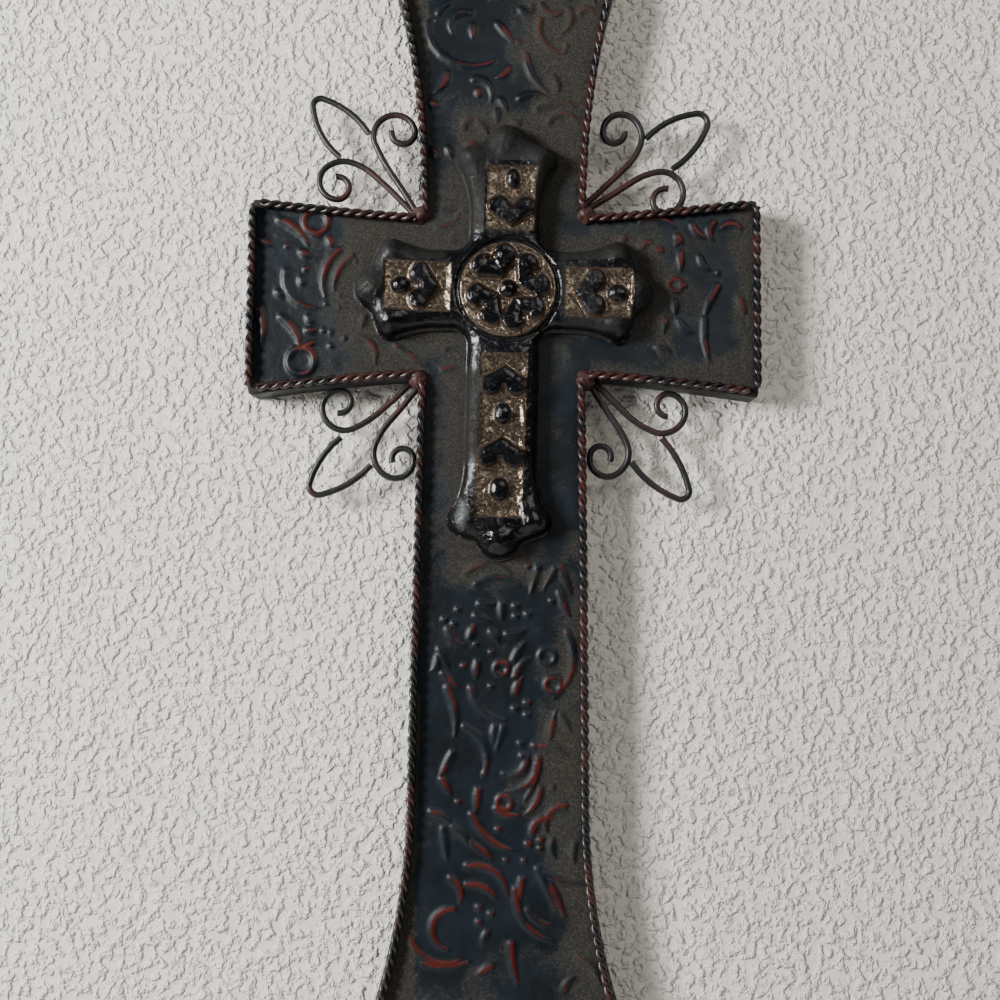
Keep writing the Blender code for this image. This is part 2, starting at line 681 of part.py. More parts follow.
def budded_end(neck_half):
    """Half the outline of a budded end, from its tip to its neck: distance inwards and distance across."""
    bud_heading = 90 - LOBE_TURN + NOTCH_TURN
    bud_turn = math.radians(bud_heading)
    bends = [(CERAMIC_LOBE_RADIUS * math.radians(LOBE_TURN), -LOBE_TURN),
             (CERAMIC_NOTCH_RADIUS * math.radians(NOTCH_TURN), NOTCH_TURN), (CERAMIC_BUD_STEM, 0.0)]
    points = bent_line((0.0, 0.0), 90.0, bends)
    start = points[-1][1]
    level = neck_half - start + CERAMIC_BUD_RADIUS * math.cos(bud_turn) + CERAMIC_NECK_RADIUS
    neck_turn = math.acos(min(1.0, level / (CERAMIC_BUD_RADIUS + CERAMIC_NECK_RADIUS)))
    bends = [(CERAMIC_BUD_RADIUS * (bud_turn + neck_turn), -bud_heading - math.degrees(neck_turn)),
             (CERAMIC_NECK_RADIUS * neck_turn, math.degrees(neck_turn))]
    return points + bent_line(points[-1], bud_heading, bends)[1:]


def ceramic_outline():
    """The outline of the ceramic cross in its own frame, anticlockwise from the front."""
    upright, side = CERAMIC_UPRIGHT_NECK / 2, CERAMIC_SIDE_NECK / 2
    ends = (((0, 1), CERAMIC_TOP_REACH, upright, side), ((-1, 0), CERAMIC_SIDE_REACH, side, upright),
            ((0, -1), CERAMIC_LEG_REACH, upright, side), ((1, 0), CERAMIC_SIDE_REACH, side, upright))
    outline = []
    for (ox, oz), reach, half, other in ends:
        line = budded_end(half)
        right = [(reach - inward, across) for inward, across in reversed(line)]
        left = [(distance, -across) for distance, across in reversed(right[:-1])]
        shape = right + left
        outline += [(ox * d + oz * a, oz * d - ox * a) for d, a in shape]
        corner = (ox * other - oz * half, oz * other + ox * half)
        along = (ox, oz)
        before = (corner[0] + along[0], corner[1] + along[1])
        after = (corner[0] - oz, corner[1] + ox)
        outline += rounded_corner(before, corner, after, CERAMIC_INNER_RADIUS)
    return outline


def placed_ceramic(points):
    """Points of the ceramic cross's own frame where they come to lie on the sheet."""
    placed = []
    for point in points:
        x, z = turned(point, -CERAMIC_TILT)
        placed.append((x + CERAMIC_SHIFT, z + CROSSING_Z + CERAMIC_RISE))
    return placed


def distance_inside(point, outline):
    """Distance from a point to a closed outline, positive inside it."""
    nearest = math.inf
    inside = False
    px, pz = point
    for index, (x, z) in enumerate(outline):
        bx, bz = outline[index - 1]
        rx, rz = x - bx, z - bz
        square = rx * rx + rz * rz
        share = max(0.0, min(1.0, ((px - bx) * rx + (pz - bz) * rz) / square)) if square else 0.0
        nearest = min(nearest, math.hypot(px - bx - share * rx, pz - bz - share * rz))
        if (z > pz) != (bz > pz) and px < bx + (pz - bz) / (z - bz) * rx:
            inside = not inside
    return nearest if inside else -nearest


def offset_outline(outline, inset):
    """An outline moved inwards all round."""
    points = []
    count = len(outline)
    for index in range(count):
        before = Vector(outline[index - 1])
        after = Vector(outline[(index + 1) % count])
        along = (after - before).normalized()
        points.append(Vector(outline[index]) + Vector((-along.y, along.x)) * inset)
    return points


def heart(tip, heading, length, lobe):
    """A heart with its point at tip. Its lobes lie a length away, to both sides of the heading."""
    tip = Vector(tip)
    along = Vector(turned((1.0, 0.0), heading))
    side = Vector((-along.y, along.x))
    spread = lobe * HEART_SPREAD
    middle = length - lobe
    first, last = HEART_ARC
    half = []
    for index in range(HEART_STEPS + 1):
        angle = math.radians(first + (last - first) * index / HEART_STEPS)
        half.append((middle + lobe * math.sin(angle), spread + lobe * math.cos(angle)))
    right = [tip + along * a - side * b for a, b in half]
    left = [tip + along * a + side * b for a, b in reversed(half)]
    notch = [tip + along * (middle + lobe * HEART_NOTCH)]
    return [tip] + right + notch + left


def panels():
    """The sunk panels, each as its box: low x, low z, high x and high z."""
    half = PANEL_HALF_WIDTH
    return ((-half, TOP_PANEL[0], half, TOP_PANEL[1]), (-SIDE_PANEL[1], -half, -SIDE_PANEL[0], half),
            (-half, -LEG_PANEL[1], half, -LEG_PANEL[0]), (SIDE_PANEL[0], -half, SIDE_PANEL[1], half))


def panel_box(box, inset):
    low_x, low_z, high_x, high_z = box
    return [Vector((low_x + inset, low_z + inset)), Vector((high_x - inset, low_z + inset)),
            Vector((high_x - inset, high_z - inset)), Vector((low_x + inset, high_z - inset))]


def hearts():
    top = TOP_PANEL[0] + PANEL_WALL
    side = SIDE_PANEL[0] + PANEL_WALL
    tips = [((0.0, top), 90), ((-side, 0.0), 180), ((side, 0.0), 0)]
    tips += [((0.0, -leg), 270) for leg in LEG_HEARTS]
    shapes = [heart(tip, heading, HEART_LENGTH, HEART_LOBE) for tip, heading in tips]
    for turn in (45, 135, 225, 315):
        shapes.append(heart(turned((PETAL_START, 0.0), turn), turn, PETAL_LENGTH, PETAL_LOBE))
    return shapes


def beads():
    top = TOP_PANEL[1] - BEAD_SPACE
    side = SIDE_PANEL[1] - BEAD_SPACE
    return [(0.0, 0.0), (0.0, top), (-side, 0.0), (side, 0.0)] + [(0.0, -leg) for leg in LEG_BEADS]


def bosses():
    """The middles of the rounded lobes at the four ends."""
    middles = []
    inward = CERAMIC_LOBE_RADIUS
    bud_in, bud_across = BUD_PLACE
    for (ox, oz), reach in (((0, 1), CERAMIC_TOP_REACH), ((-1, 0), CERAMIC_SIDE_REACH),
                            ((0, -1), CERAMIC_LEG_REACH), ((1, 0), CERAMIC_SIDE_REACH)):
        middles.append((ox * (reach - inward), oz * (reach - inward)))
        for hand in (-1, 1):
            d, a = reach - bud_in, hand * bud_across
            middles.append((ox * d + oz * a, oz * d - ox * a))
    return middles


def smooth(share):
    share = max(0.0, min(1.0, share))
    return share * share * (3 - 2 * share)


def ceramic_height(point, outline, motifs):
    depth = distance_inside(point, outline)
    rise = max(0.0, min(1.0, (depth - CERAMIC_LIP_WIDTH) / CERAMIC_SHOULDER))
    height = CERAMIC_LIP + (CERAMIC_BODY - CERAMIC_LIP) * math.sqrt(1 - (1 - rise) ** 2)
    for x, z in bosses():
        away = math.hypot(point[0] - x, point[1] - z) / CERAMIC_BOSS_RADIUS
        height += CERAMIC_BOSS * math.exp(-away * away) * min(1.0, rise * 2)
    radius = math.hypot(point[0], point[1])
    rim = 1 - abs(radius - MEDALLION_RADIUS + MEDALLION_RIM / 2) / MEDALLION_RIM
    height += CERAMIC_BOSS * smooth(rim)
    floor = smooth((MEDALLION_RADIUS - MEDALLION_RIM / 2 - radius) / PANEL_WALL)
    height += (MEDALLION_FLOOR - height) * floor
    for low_x, low_z, high_x, high_z in panels():
        inside = min(point[0] - low_x, high_x - point[0], point[1] - low_z, high_z - point[1])
        height += (PANEL_FLOOR - height) * smooth(inside / PANEL_WALL)
    for motif in motifs:
        height += MOTIF_HEIGHT * smooth(distance_inside(point, motif) / MOTIF_WALL)
    for x, z in beads():
        away = math.hypot(point[0] - x, point[1] - z) / BEAD_RADIUS
        height += BEAD_HEIGHT * math.sqrt(max(0.0, 1 - away * away))
    return height


def make_ceramic(finish):
    outline = ceramic_outline()
    motifs = hearts()
    drawing = Drawing(outline)
    drawing.loop(offset_outline(outline, CERAMIC_LIP_WIDTH))
    for fold in SHOULDER_FOLDS:
        drawing.loop(offset_outline(outline, CERAMIC_SHOULDER * fold))
    for middle in bosses():
        drawing.loop(circle(middle, CERAMIC_BOSS_RADIUS * BOSS_FOLD, BERRY_SIDES))
    for inset in (0.0, PANEL_WALL):
        for box in panels():
            drawing.loop(panel_box(box, inset))
    for radius in (MEDALLION_RADIUS + MEDALLION_RIM / 2, MEDALLION_RADIUS - MEDALLION_RIM / 2,
                   MEDALLION_RADIUS - MEDALLION_RIM / 2 - PANEL_WALL):
        drawing.loop(circle((0.0, 0.0), radius, MEDALLION_SIDES))
    for motif in motifs:
        drawing.loop(motif)
        drawing.loop(offset_outline(motif, MOTIF_WALL))
    for middle in beads():
        drawing.loop(circle(middle, BEAD_RADIUS, BEAD_SIDES))
        drawing.loop(circle(middle, BEAD_RADIUS * BEAD_FOLD, BEAD_SIDES))
        drawing.add([middle])
    bm = drawing.surface(lambda point: ceramic_height(point, outline, motifs), 0.0)
    extrude_border(bm, 0.0)
    ceramic = add_object("ceramic_cross", bm, finish)
    ceramic.location = (CERAMIC_SHIFT, PLATE_FRONT - GAP, CROSSING_Z + CERAMIC_RISE)
    ceramic.rotation_euler.y = math.radians(CERAMIC_TILT)


def main():
    clear_scene()
    steel = material("painted_sheet", (0.022, 0.030, 0.042), 0.42, 0.0)
    wire = material("painted_wire", (0.060, 0.030, 0.026), 0.45, 0.0)
    weld = material("weld_metal", (0.120, 0.045, 0.035), 0.60, 0.0)
    glaze = material("dark_glaze", (0.018, 0.018, 0.024), 0.18, 0.0)
    zinc = material("bare_strap", (0.30, 0.30, 0.29), 0.50, 0.9)
    make_plate(steel)
    for arm_name, arm in ARMS.items():
        make_edging(f"edging_{arm_name}_end", edging_end(arm), wire)
        make_edging(f"edging_{arm_name}_side_a", edging_side(arm, 1), wire)
        make_edging(f"edging_{arm_name}_side_b", edging_side(arm, -1), wire)
    cutter = make_plate_cutter()
    for corner in CORNERS:
        make_corner_work(corner, wire)
        make_weld(corner, cutter, weld)
    make_ceramic(glaze)
    make_strap(zinc)


main()
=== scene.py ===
"""A decorative wall cross: embossed painted steel, twisted edging, wire scrolls and a glazed cross."""
import math

import bmesh
import bpy
import numpy as np
from mathutils import Matrix, Vector, noise


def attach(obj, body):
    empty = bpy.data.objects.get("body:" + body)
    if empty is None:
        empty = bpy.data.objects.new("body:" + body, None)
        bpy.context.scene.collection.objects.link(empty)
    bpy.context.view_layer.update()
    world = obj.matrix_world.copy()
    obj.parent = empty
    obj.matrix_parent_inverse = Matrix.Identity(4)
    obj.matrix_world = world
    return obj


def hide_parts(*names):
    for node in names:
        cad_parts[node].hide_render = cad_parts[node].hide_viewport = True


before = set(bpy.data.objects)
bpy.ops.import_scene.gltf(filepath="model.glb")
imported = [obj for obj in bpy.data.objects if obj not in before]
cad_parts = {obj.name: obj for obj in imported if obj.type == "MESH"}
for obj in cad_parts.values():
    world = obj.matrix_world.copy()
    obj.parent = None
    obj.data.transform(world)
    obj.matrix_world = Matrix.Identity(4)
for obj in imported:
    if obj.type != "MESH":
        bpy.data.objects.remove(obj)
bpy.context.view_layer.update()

# The room: a pale plastered wall that the cross hangs on, a pale floor far below it, and soft daylight from
# a window on the left. The camera stands low in front of the cross and looks slightly up at it.
WALL_Y = 0.0006
FLOOR_Z = -1.45
ROOM_SIZE = 3.0
CAMERA_PLACE = Vector((0.0092, -0.5210, -0.2663))
CAMERA_YAW = math.radians(-1.086)
CAMERA_PITCH = math.radians(3.825)
CAMERA_ROLL = math.radians(0.547)
FILM_WIDTH = 36.0
LENS = 36.0
WALL_COLOUR = (0.88, 0.858, 0.798, 1.0)
WALL_ROUGHNESS = 0.75
FLOOR_COLOUR = (0.70, 0.69, 0.66, 1.0)
FLOOR_ROUGHNESS = 0.8
# Plaster relief: depth in metres and strength
PLASTER_LUMPS = (0.0021, 0.85)
PLASTER_GRIT = (0.0003, 0.5)
CROSS_MIDDLE = Vector((0.0, 0.0, -0.20))
# Lights, all facing the cross: place, width, height, watts and colour
LIGHTS = {
    "window": ((-1.45, -0.98, 0.10), 0.46, 0.60, 60.0, (1.0, 0.99, 0.965)),
    "room_fill": ((0.9, -1.6, 0.9), 1.4, 0.9, 14.0, (1.0, 0.95, 0.87)),
    "behind": ((0.5, 1.9, 0.4), 1.2, 1.2, 22.0, (1.0, 1.0, 1.0)),
}
ROOM_LIGHT_COLOUR = (0.86, 0.88, 0.90, 1.0)
ROOM_LIGHT_STRENGTH = 0.08


def plug(tree, socket, value):
    """Links a socket to another node's output, or sets it to a plain value."""
    if isinstance(value, bpy.types.NodeSocket):
        tree.links.new(value, socket)
    else:
        socket.default_value = value


def plug_all(tree, node, **values):
    """Plugs sockets by name. A socket's blanks are underscores here."""
    for name, value in values.items():
        plug(tree, node.inputs[name.replace("_", " ")], value)


def calc(tree, operation, first, second, third=0.0):
    node = tree.nodes.new("ShaderNodeMath")
    node.operation = operation
    for socket, value in zip(node.inputs, (first, second, third)):
        plug(tree, socket, value)
    return node.outputs[0]


def between(tree, value, low, high, to_low=0.0, to_high=1.0):
    """A value eased from to_low to to_high as it goes from low to high."""
    node = tree.nodes.new("ShaderNodeMapRange")
    node.interpolation_type = "SMOOTHSTEP"
    for socket, number in zip(node.inputs, (value, low, high, to_low, to_high)):
        plug(tree, socket, number)
    return node.outputs[0]


def mixed(tree, share, under, over):
    node = tree.nodes.new("ShaderNodeMix")
    node.data_type = "RGBA"
    for socket, value in ((node.inputs[0], share), (node.inputs[6], under), (node.inputs[7], over)):
        plug(tree, socket, value)
    return node.outputs[2]


def clouds(tree, scale, detail=3.0, rough=0.55, warp=0.0, place=None):
    """Noise in the object's own coordinates, from 0 to 1."""
    place = place or tree.nodes.new("ShaderNodeTexCoord").outputs["Object"]
    node = tree.nodes.new("ShaderNodeTexNoise")
    plug_all(tree, node, Vector=place, Scale=scale, Detail=detail, Roughness=rough, Distortion=warp)
    return node.outputs["Fac"]


def bumped(tree, height, depth, strength, under=None):
    node = tree.nodes.new("ShaderNodeBump")
    plug_all(tree, node, Strength=strength, Distance=depth, Height=height)
    if under:
        plug(tree, node.inputs["Normal"], under)
    return node.outputs["Normal"]


def new_material(name):
    material = bpy.data.materials.new(name)
    material.use_nodes = True
    tree = material.node_tree
    return material, tree, tree.nodes["Principled BSDF"]


def plaster():
    """Pale wall paint over knocked-down plaster. It is clear from behind and lets light in to the back."""
    material, tree, shader = new_material("wall_plaster")
    lumps = between(tree, clouds(tree, 210.0, 3.0, 0.5, 0.2), 0.42, 0.68)
    swirl = clouds(tree, 48.0, 3.0, 0.5, 0.8)
    gritty = bumped(tree, clouds(tree, 420.0), *PLASTER_GRIT)
    knocked_down = bumped(tree, calc(tree, "MULTIPLY_ADD", swirl, 0.8, lumps), *PLASTER_LUMPS, gritty)
    plug_all(tree, shader, Base_Color=WALL_COLOUR, Roughness=WALL_ROUGHNESS, Normal=knocked_down)
    from_behind = tree.nodes.new("ShaderNodeNewGeometry").outputs["Backfacing"]
    for_light = tree.nodes.new("ShaderNodeLightPath").outputs["Is Shadow Ray"]
    clear = tree.nodes.new("ShaderNodeBsdfTransparent")
    either = tree.nodes.new("ShaderNodeMixShader")
    see_through = calc(tree, "MAXIMUM", from_behind, for_light)
    for socket, value in zip(either.inputs, (see_through, shader.outputs[0], clear.outputs[0])):
        plug(tree, socket, value)
    plug(tree, tree.nodes["Material Output"].inputs["Surface"], either.outputs[0])
    return material


def finished_mesh(bm, name):
    mesh = bpy.data.meshes.new(name)
    bm.to_mesh(mesh)
    bm.free()
    return mesh


def add_object(name, data):
    thing = bpy.data.objects.new(name, data)
    bpy.context.collection.objects.link(thing)
    return thing


def room_plane(name, matrix, finish):
    bm = bmesh.new()
    bmesh.ops.create_grid(bm, x_segments=1, y_segments=1, size=ROOM_SIZE / 2, matrix=matrix)
    mesh = finished_mesh(bm, name)
    mesh.materials.append(finish)
    plane = add_object(name, mesh)


upright = Matrix.Rotation(math.radians(90), 4, "X")
room_plane("wall", Matrix.Translation((0.0, WALL_Y, FLOOR_Z + ROOM_SIZE / 2)) @ upright, plaster())
floor_paint, floor_tree, floor_shader = new_material("floor_paint")
plug_all(floor_tree, floor_shader, Base_Color=FLOOR_COLOUR, Roughness=FLOOR_ROUGHNESS)
room_plane("floor", Matrix.Translation((0.0, 0.0, FLOOR_Z)), floor_paint)

ahead = Vector((math.sin(CAMERA_YAW) * math.cos(CAMERA_PITCH), math.cos(CAMERA_YAW) * math.cos(CAMERA_PITCH),
                math.sin(CAMERA_PITCH)))
level_right = Vector((math.cos(CAMERA_YAW), -math.sin(CAMERA_YAW), 0.0))
level_up = level_right.cross(ahead)
camera_right = level_right * math.cos(CAMERA_ROLL) + level_up * math.sin(CAMERA_ROLL)
camera_up = level_up * math.cos(CAMERA_ROLL) - level_right * math.sin(CAMERA_ROLL)
camera = add_object("camera", bpy.data.cameras.new("camera"))
camera.data.sensor_width = FILM_WIDTH
camera.data.lens = LENS
camera.data.clip_start = 0.01
camera.matrix_world = Matrix((camera_right, camera_up, -ahead)).transposed().to_4x4()
camera.location = CAMERA_PLACE
bpy.context.scene.camera = camera

for name, (place, width, height, watts, colour) in LIGHTS.items():
    light = bpy.data.lights.new(name, "AREA")
    light.shape = "RECTANGLE"
    light.size = width
    light.size_y = height
    light.energy = watts
    light.color = colour
    lamp = add_object(name, light)
    lamp.location = place
    lamp.rotation_euler = (CROSS_MIDDLE - Vector(place)).to_track_quat("-Z", "Y").to_euler()
world = bpy.data.worlds.new("room_light")
world.use_nodes = True
background = world.node_tree.nodes["Background"]
plug_all(world.node_tree, background, Color=ROOM_LIGHT_COLOUR, Strength=ROOM_LIGHT_STRENGTH)
bpy.context.scene.world = world

# The cross is one tray of pressed sheet steel, its rim bent back to the wall. Scrollwork is embossed into it
# from behind. It was painted blue-black over red, the crests were rubbed back, and dust lies on it.
CROSSING_Z = -0.1280
SHEET_FRONT = -0.0160
SHEET = 0.0010
RIM_BEND = 0.0014
SHEET_CORNER = 0.0026
UPRIGHT_HALF = 0.0416
SIDE_HALF = 0.0418
ARM_SIZES = ("out", "reach", "root", "start", "taper", "flare", "from", "power")
SHEET_ARMS = {
    "top": ((0, 1), 0.1720, UPRIGHT_HALF, SIDE_HALF, 0.0, 0.0180, 0.0, 2.0),
    "left": ((-1, 0), 0.1306, SIDE_HALF, UPRIGHT_HALF, 0.0, 0.0098, 0.0, 1.35),
    "leg": ((0, -1), 0.3740, UPRIGHT_HALF, SIDE_HALF, 0.0055, 0.0195, 0.65, 2.0),
    "right": ((1, 0), 0.1306, SIDE_HALF, UPRIGHT_HALF, 0.0, 0.0098, 0.0, 1.35),
}
SHEET_ARMS = {name: dict(zip(ARM_SIZES, sizes)) for name, sizes in SHEET_ARMS.items()}
SHEET_CELL = 0.00135
BACK_CELL = 0.0030
BEND_STEPS = 4

# Embossed strokes: place across, place above the crossing, heading, length and turn, in mm and degrees
STROKES = (
    (-41, 145, -88, 50, 120), (-21, 151, -187, 17, 141), (-17, 144, -89, 7, 0), (-4, 145, -50, 13, -2),
    (18, 147, -108, 26, 107), (33, 153, -63, 15, -83), (19, 155, -80, 14, 125), (11, 128, -85, 24, 49),
    (2, 121, -110, 9, -64), (-16, 115, 7, 19, -128), (-14, 109, -76, 4, 0), (-2, 104, -57, 7, 0),
    (-4, 98, -89, 6, 0), (-30, 118, -96, 13, -57), (-38, 102, -27, 4, 0), (8, 105, 30, 16, -67),
    (17, 99, 39, 21, -73), (23, 92, 62, 18, -123), (-21, 89, 99, 8, -129), (-14, 92, -39, 10, -28),
    (-19, 80, 10, 5, 0), (5, 92, -21, 4, 0), (-29, 78, -68, 5, 0), (-37, 77, -51, 6, 0),
    (25, 116, -42, 9, -60), (-35, 151, 70, 9, -64), (8, 153, -68, 10, 184), (39, 151, 59, 10, -146),
    (-22, 164, 10, 18, -70), (2, 163, -25, 16, 60), (27, 164, -60, 10, 30), (44, 163, -80, 9, 20),
    (-42, 163, -50, 10, 40), (-116, 40, -18, 21, -47), (-125, 29, -26, 6, 0), (-100, 34, -34, 6, 0),
    (-104, 23, -31, 5, 0), (-112, 13, -101, 31, 107), (-104, 9, -78, 4, 0), (-116, 2, -37, 4, 0),
    (-114, -11, -32, 19, -50), (-100, -11, -63, 4, 0), (-100, -18, 0, 4, 0), (-103, -28, 33, 8, 0),
    (-90, 30, -71, 5, 0), (-85, 24, -141, 27, 73), (-78, 21, -149, 22, 68), (-71, -11, -105, 6, 0),
    (-76, -22, 8, 20, -117), (-54, -26, -36, 17, -5), (-34, 36, 4, 14, 60), (-32, 45, 7, 7, 0),
    (-27, 29, 68, 6, 0), (-29, -28, 21, 7, 0), (-30, -38, 17, 8, 0), (-125, -7, -70, 18, -32),
    (71, 26, 73, 7, -106), (78, 25, -14, 5, 0), (89, 32, -52, 5, 0), (91, 23, -90, 9, 0),
    (101, 21, -87, 9, 75), (97, 38, -74, 10, 57), (108, 39, -143, 11, 106), (110, 6, -124, 19, 22),
    (88, -2, -87, 7, 0), (90, -12, -68, 10, 60), (103, -11, -97, 23, 25), (83, -12, -97, 7, 0),
    (79, -26, -17, 7, 0), (62, 31, -116, 4, 0), (121, -1, -72, 8, 0), (121, 36, 125, 11, 111),
    (71, 40, 22, 19, -64), (34, -171, -62, 36, -80), (31, -212, -59, 9, 0), (21, -227, -5, 14, -25),
    (-31, -184, -80, 8, -70), (19, -236, -88, 19, -40), (-17, -141, 45, 25, -95), (-12, -147, 35, 24, -75),
    (19, -138, -100, 14, -10), (30, -138, -65, 15, -5), (28, -139, -125, 12, 10), (30, -151, -75, 13, 15),
    (-10, -157, -10, 7, 20), (-12, -163, -20, 8, 0), (1, -157, -90, 8, 0), (4, -172, -10, 9, 50),
    (-4, -171, -50, 7, -10), (-26, -170, -70, 12, 50), (-30, -180, -75, 10, 25), (-15, -174, 80, 7, -20),
    (7, -185, 70, 11, -25), (8, -193, 80, 13, -60), (-11, -186, -95, 8, 0), (-28, -192, -50, 10, 10),
    (-26, -199, -60, 25, -40), (-14, -199, -80, 25, 75), (8, -201, 80, 9, -30), (25, -223, 80, 14, -10),
    (-17, -218, -20, 30, -100), (-2, -218, -95, 8, 0), (2, -218, -105, 12, 0), (14, -233, -85, 18, -130),
    (20, -233, -85, 26, -100), (21, -248, -95, 15, -50), (-23, -231, -115, 13, -5), (-28, -244, -60, 9, 0),
    (-10, -249, -95, 11, 0), (-13, -261, -70, 28, 60), (-1, -258, -40, 12, 50), (33, -256, 180, 18, 110),
    (17, -270, 90, 16, -110), (27, -273, -100, 9, 40), (38, -275, -110, 9, 40), (-33, -260, -5, 12, -50),
    (-22, -267, -30, 12, -40), (-27, -268, -85, 16, 5), (-13, -275, -25, 13, -25),
    (-15, -286, 15, 28, -100), (-15, -295, 10, 17, -70), (-23, -292, -30, 14, -80),
    (-22, -307, 178, 30, 175), (12, -292, -95, 10, 0), (9, -297, -95, 34, 85), (15, -307, -60, 14, 60),
    (20, -287, -60, 22, -10), (23, -289, -30, 20, 30), (26, -294, -60, 17, -10), (-43, -321, -70, 30, 95),
    (-36, -333, -15, 23, 35), (-5, -318, -110, 7, 0), (-3, -334, -150, 8, 0), (7, -323, -90, 20, 20),
    (40, -329, -20, 18, -60), (33, -345, 75, 9, -50), (-34, -352, -30, 22, 70), (-6, -352, -20, 24, -90),
    (22, -354, -100, 12, 25), (40, -358, -75, 9, 20), (-12, -364, 5, 12, -50),
)
# Embossed beads: place across, place above the crossing and radius, in mm. A fourth value is a ring's bore.
BEADS = (
    (-18, 151, 1.5), (32, 133, 1.4), (31, 130, 1.2), (-36, 147, 1.3), (7, 135, 1.4), (-112, 26, 1.3),
    (-102, 14, 1.4), (-91, -4, 1.2), (-84, 0, 1.2), (-84, -6, 1.2), (-92, -18, 1.5), (-88, -19, 1.6),
    (-81, -22, 1.6), (-88, -26, 1.6), (-76, 18, 1.2), (-46, 20, 1.2), (-103, -34, 6.5, 3.8),
    (-97, 39, 6.0, 3.6), (79, 8, 1.4), (82, 3, 1.2), (93, 6, 1.4), (89, 28, 1.4), (110, 13, 1.6),
    (88, 6, 3.6, 1.6), (14, -138, 1.6), (26, -155, 1.6), (8, -158, 2), (14, -162, 2), (8, -163, 1.8),
    (-21, -160, 1.8), (-28, -165, 1.8), (-23, -167, 1.8), (-12, -177, 1.5), (-4, -181, 1.5),
    (24, -183, 4, 2), (1, -189, 3.4, 1.6), (-4, -198, 1.6), (8, -209, 2), (14, -206, 2), (14, -212, 2),
    (27, -197, 4, 2), (11, -226, 2), (18, -227, 2), (12, -232, 2), (-20, -255, 1.5), (-7, -241, 1.5),
    (3, -241, 1.5), (27, -247, 1.5), (3, -255, 3.6, 1.7), (0, -268, 1.6), (15, -275, 2), (21, -273, 2),
    (21, -277, 1.8), (4, -283, 1.5), (13, -283, 1.5), (-9, -306, 2), (-3, -309, 2), (-9, -313, 2),
    (-18, -188, 1.5),
)
STROKE_HALF = 2.3
STROKE_FULLEST = 0.30
STROKE_TAPER = 1.54
STROKE_HEIGHT = 1.3
STROKE_FOOT = 1.5
BEAD_FULLNESS = 1.3
BEAD_FOOT = 1.2
BEAD_FULL_SIZE = 1.7
CREST_EDGE = 0.95
CREST_SOFTNESS = 0.6
RAISED_FROM = 0.02
# The rubbed line lies this far to the side of a crest, in mm, and this much of the dust is gone from it
RUB_SIDE = (0.55, 0.40)
CREST_CLEAN = 0.42
FADE_REACH = 45
FRONT_NORMAL = -0.3
BACK_DUST = 0.35
NAVY_DEEP = (0.0023, 0.0051, 0.0086, 1.0)
NAVY_FADED = (0.0066, 0.0124, 0.0194, 1.0)
SHEET_RED = (0.066, 0.0080, 0.0064, 1.0)
DUST_DARK = (0.0226, 0.0211, 0.0174, 1.0)
DUST_PALE = (0.0565, 0.0520, 0.0430, 1.0)


def mm(value):
    return value * 1000.0


def bent_line(start, heading, bends, step):
    """Points of a line bent like wire: each bend is a length and the angle it turns by along that length."""
    points = [start]
    x, z = start
    for length, turn in bends:
        count = max(2, math.ceil(abs(turn) / step))
        for _ in range(count):
            middle = math.radians(heading + turn / count / 2)
            x += length / count * math.cos(middle)
            z += length / count * math.sin(middle)
            heading += turn / count
            points.append((x, z))
    return points


def sheet_half_width(arm, distance):
    share = max(0.0, (distance - arm["start"]) / (arm["reach"] - arm["start"]))
    flared = max(0.0, share - arm["from"]) / (1.0 - arm["from"])
    return arm["root"] + arm["taper"] * share + arm["flare"] * flared ** arm["power"]


def on_arm(out, distance, across):
    ox, oz = out
    return (ox * distance + oz * across, oz * distance - ox * across)


def grid_patch(bm, columns, rows, place):
    """A patch of small squares. place gives the spot for a share across, from -1 to 1, and a row number."""
    for vert in bmesh.ops.create_grid(bm, x_segments=columns, y_segments=rows, size=1.0)["verts"]:
        x, z = place(vert.co.x, round((vert.co.y + 1.0) / 2.0 * rows), vert.co.y)
        vert.co = (x, 0.0, z)


def cross_surface(arms, half_x, half_z, cell):
    """A flat cross of small squares. An arm has an outward direction and rows of distance and half width."""
    bm = bmesh.new()
    across_x = round(2 * half_x / cell)
    across_z = round(2 * half_z / cell)
    grid_patch(bm, across_x, across_z, lambda across, row, up: (across * half_x, up * half_z))
    for out, rows in arms:
        columns = across_x if out[1] else across_z

        def on_row(across, row, up):
            distance, half = rows[row]
            return on_arm(out, distance, across * half)

        grid_patch(bm, columns, len(rows) - 1, on_row)
    bmesh.ops.remove_doubles(bm, verts=bm.verts, dist=cell / 50)
    return bm


def rounded_sheet_corner(arm, point, inset):
    """Draws a point near the end of an arm in, so that the sheet's corners are round."""
    ox, oz = arm["out"]
    x, z = point
    distance, across = x * ox + z * oz, x * oz - z * ox
    radius = SHEET_CORNER - inset
    over = distance - (arm["reach"] - inset - radius)
    side = abs(across) - (sheet_half_width(arm, distance) - inset - radius)
    if over <= 0 or side <= 0:
        return point
    pull = max(over, side) / math.hypot(over, side)
    distance -= over * (1 - pull)
    across -= math.copysign(side * (1 - pull), across)
    return on_arm(arm["out"], distance, across)


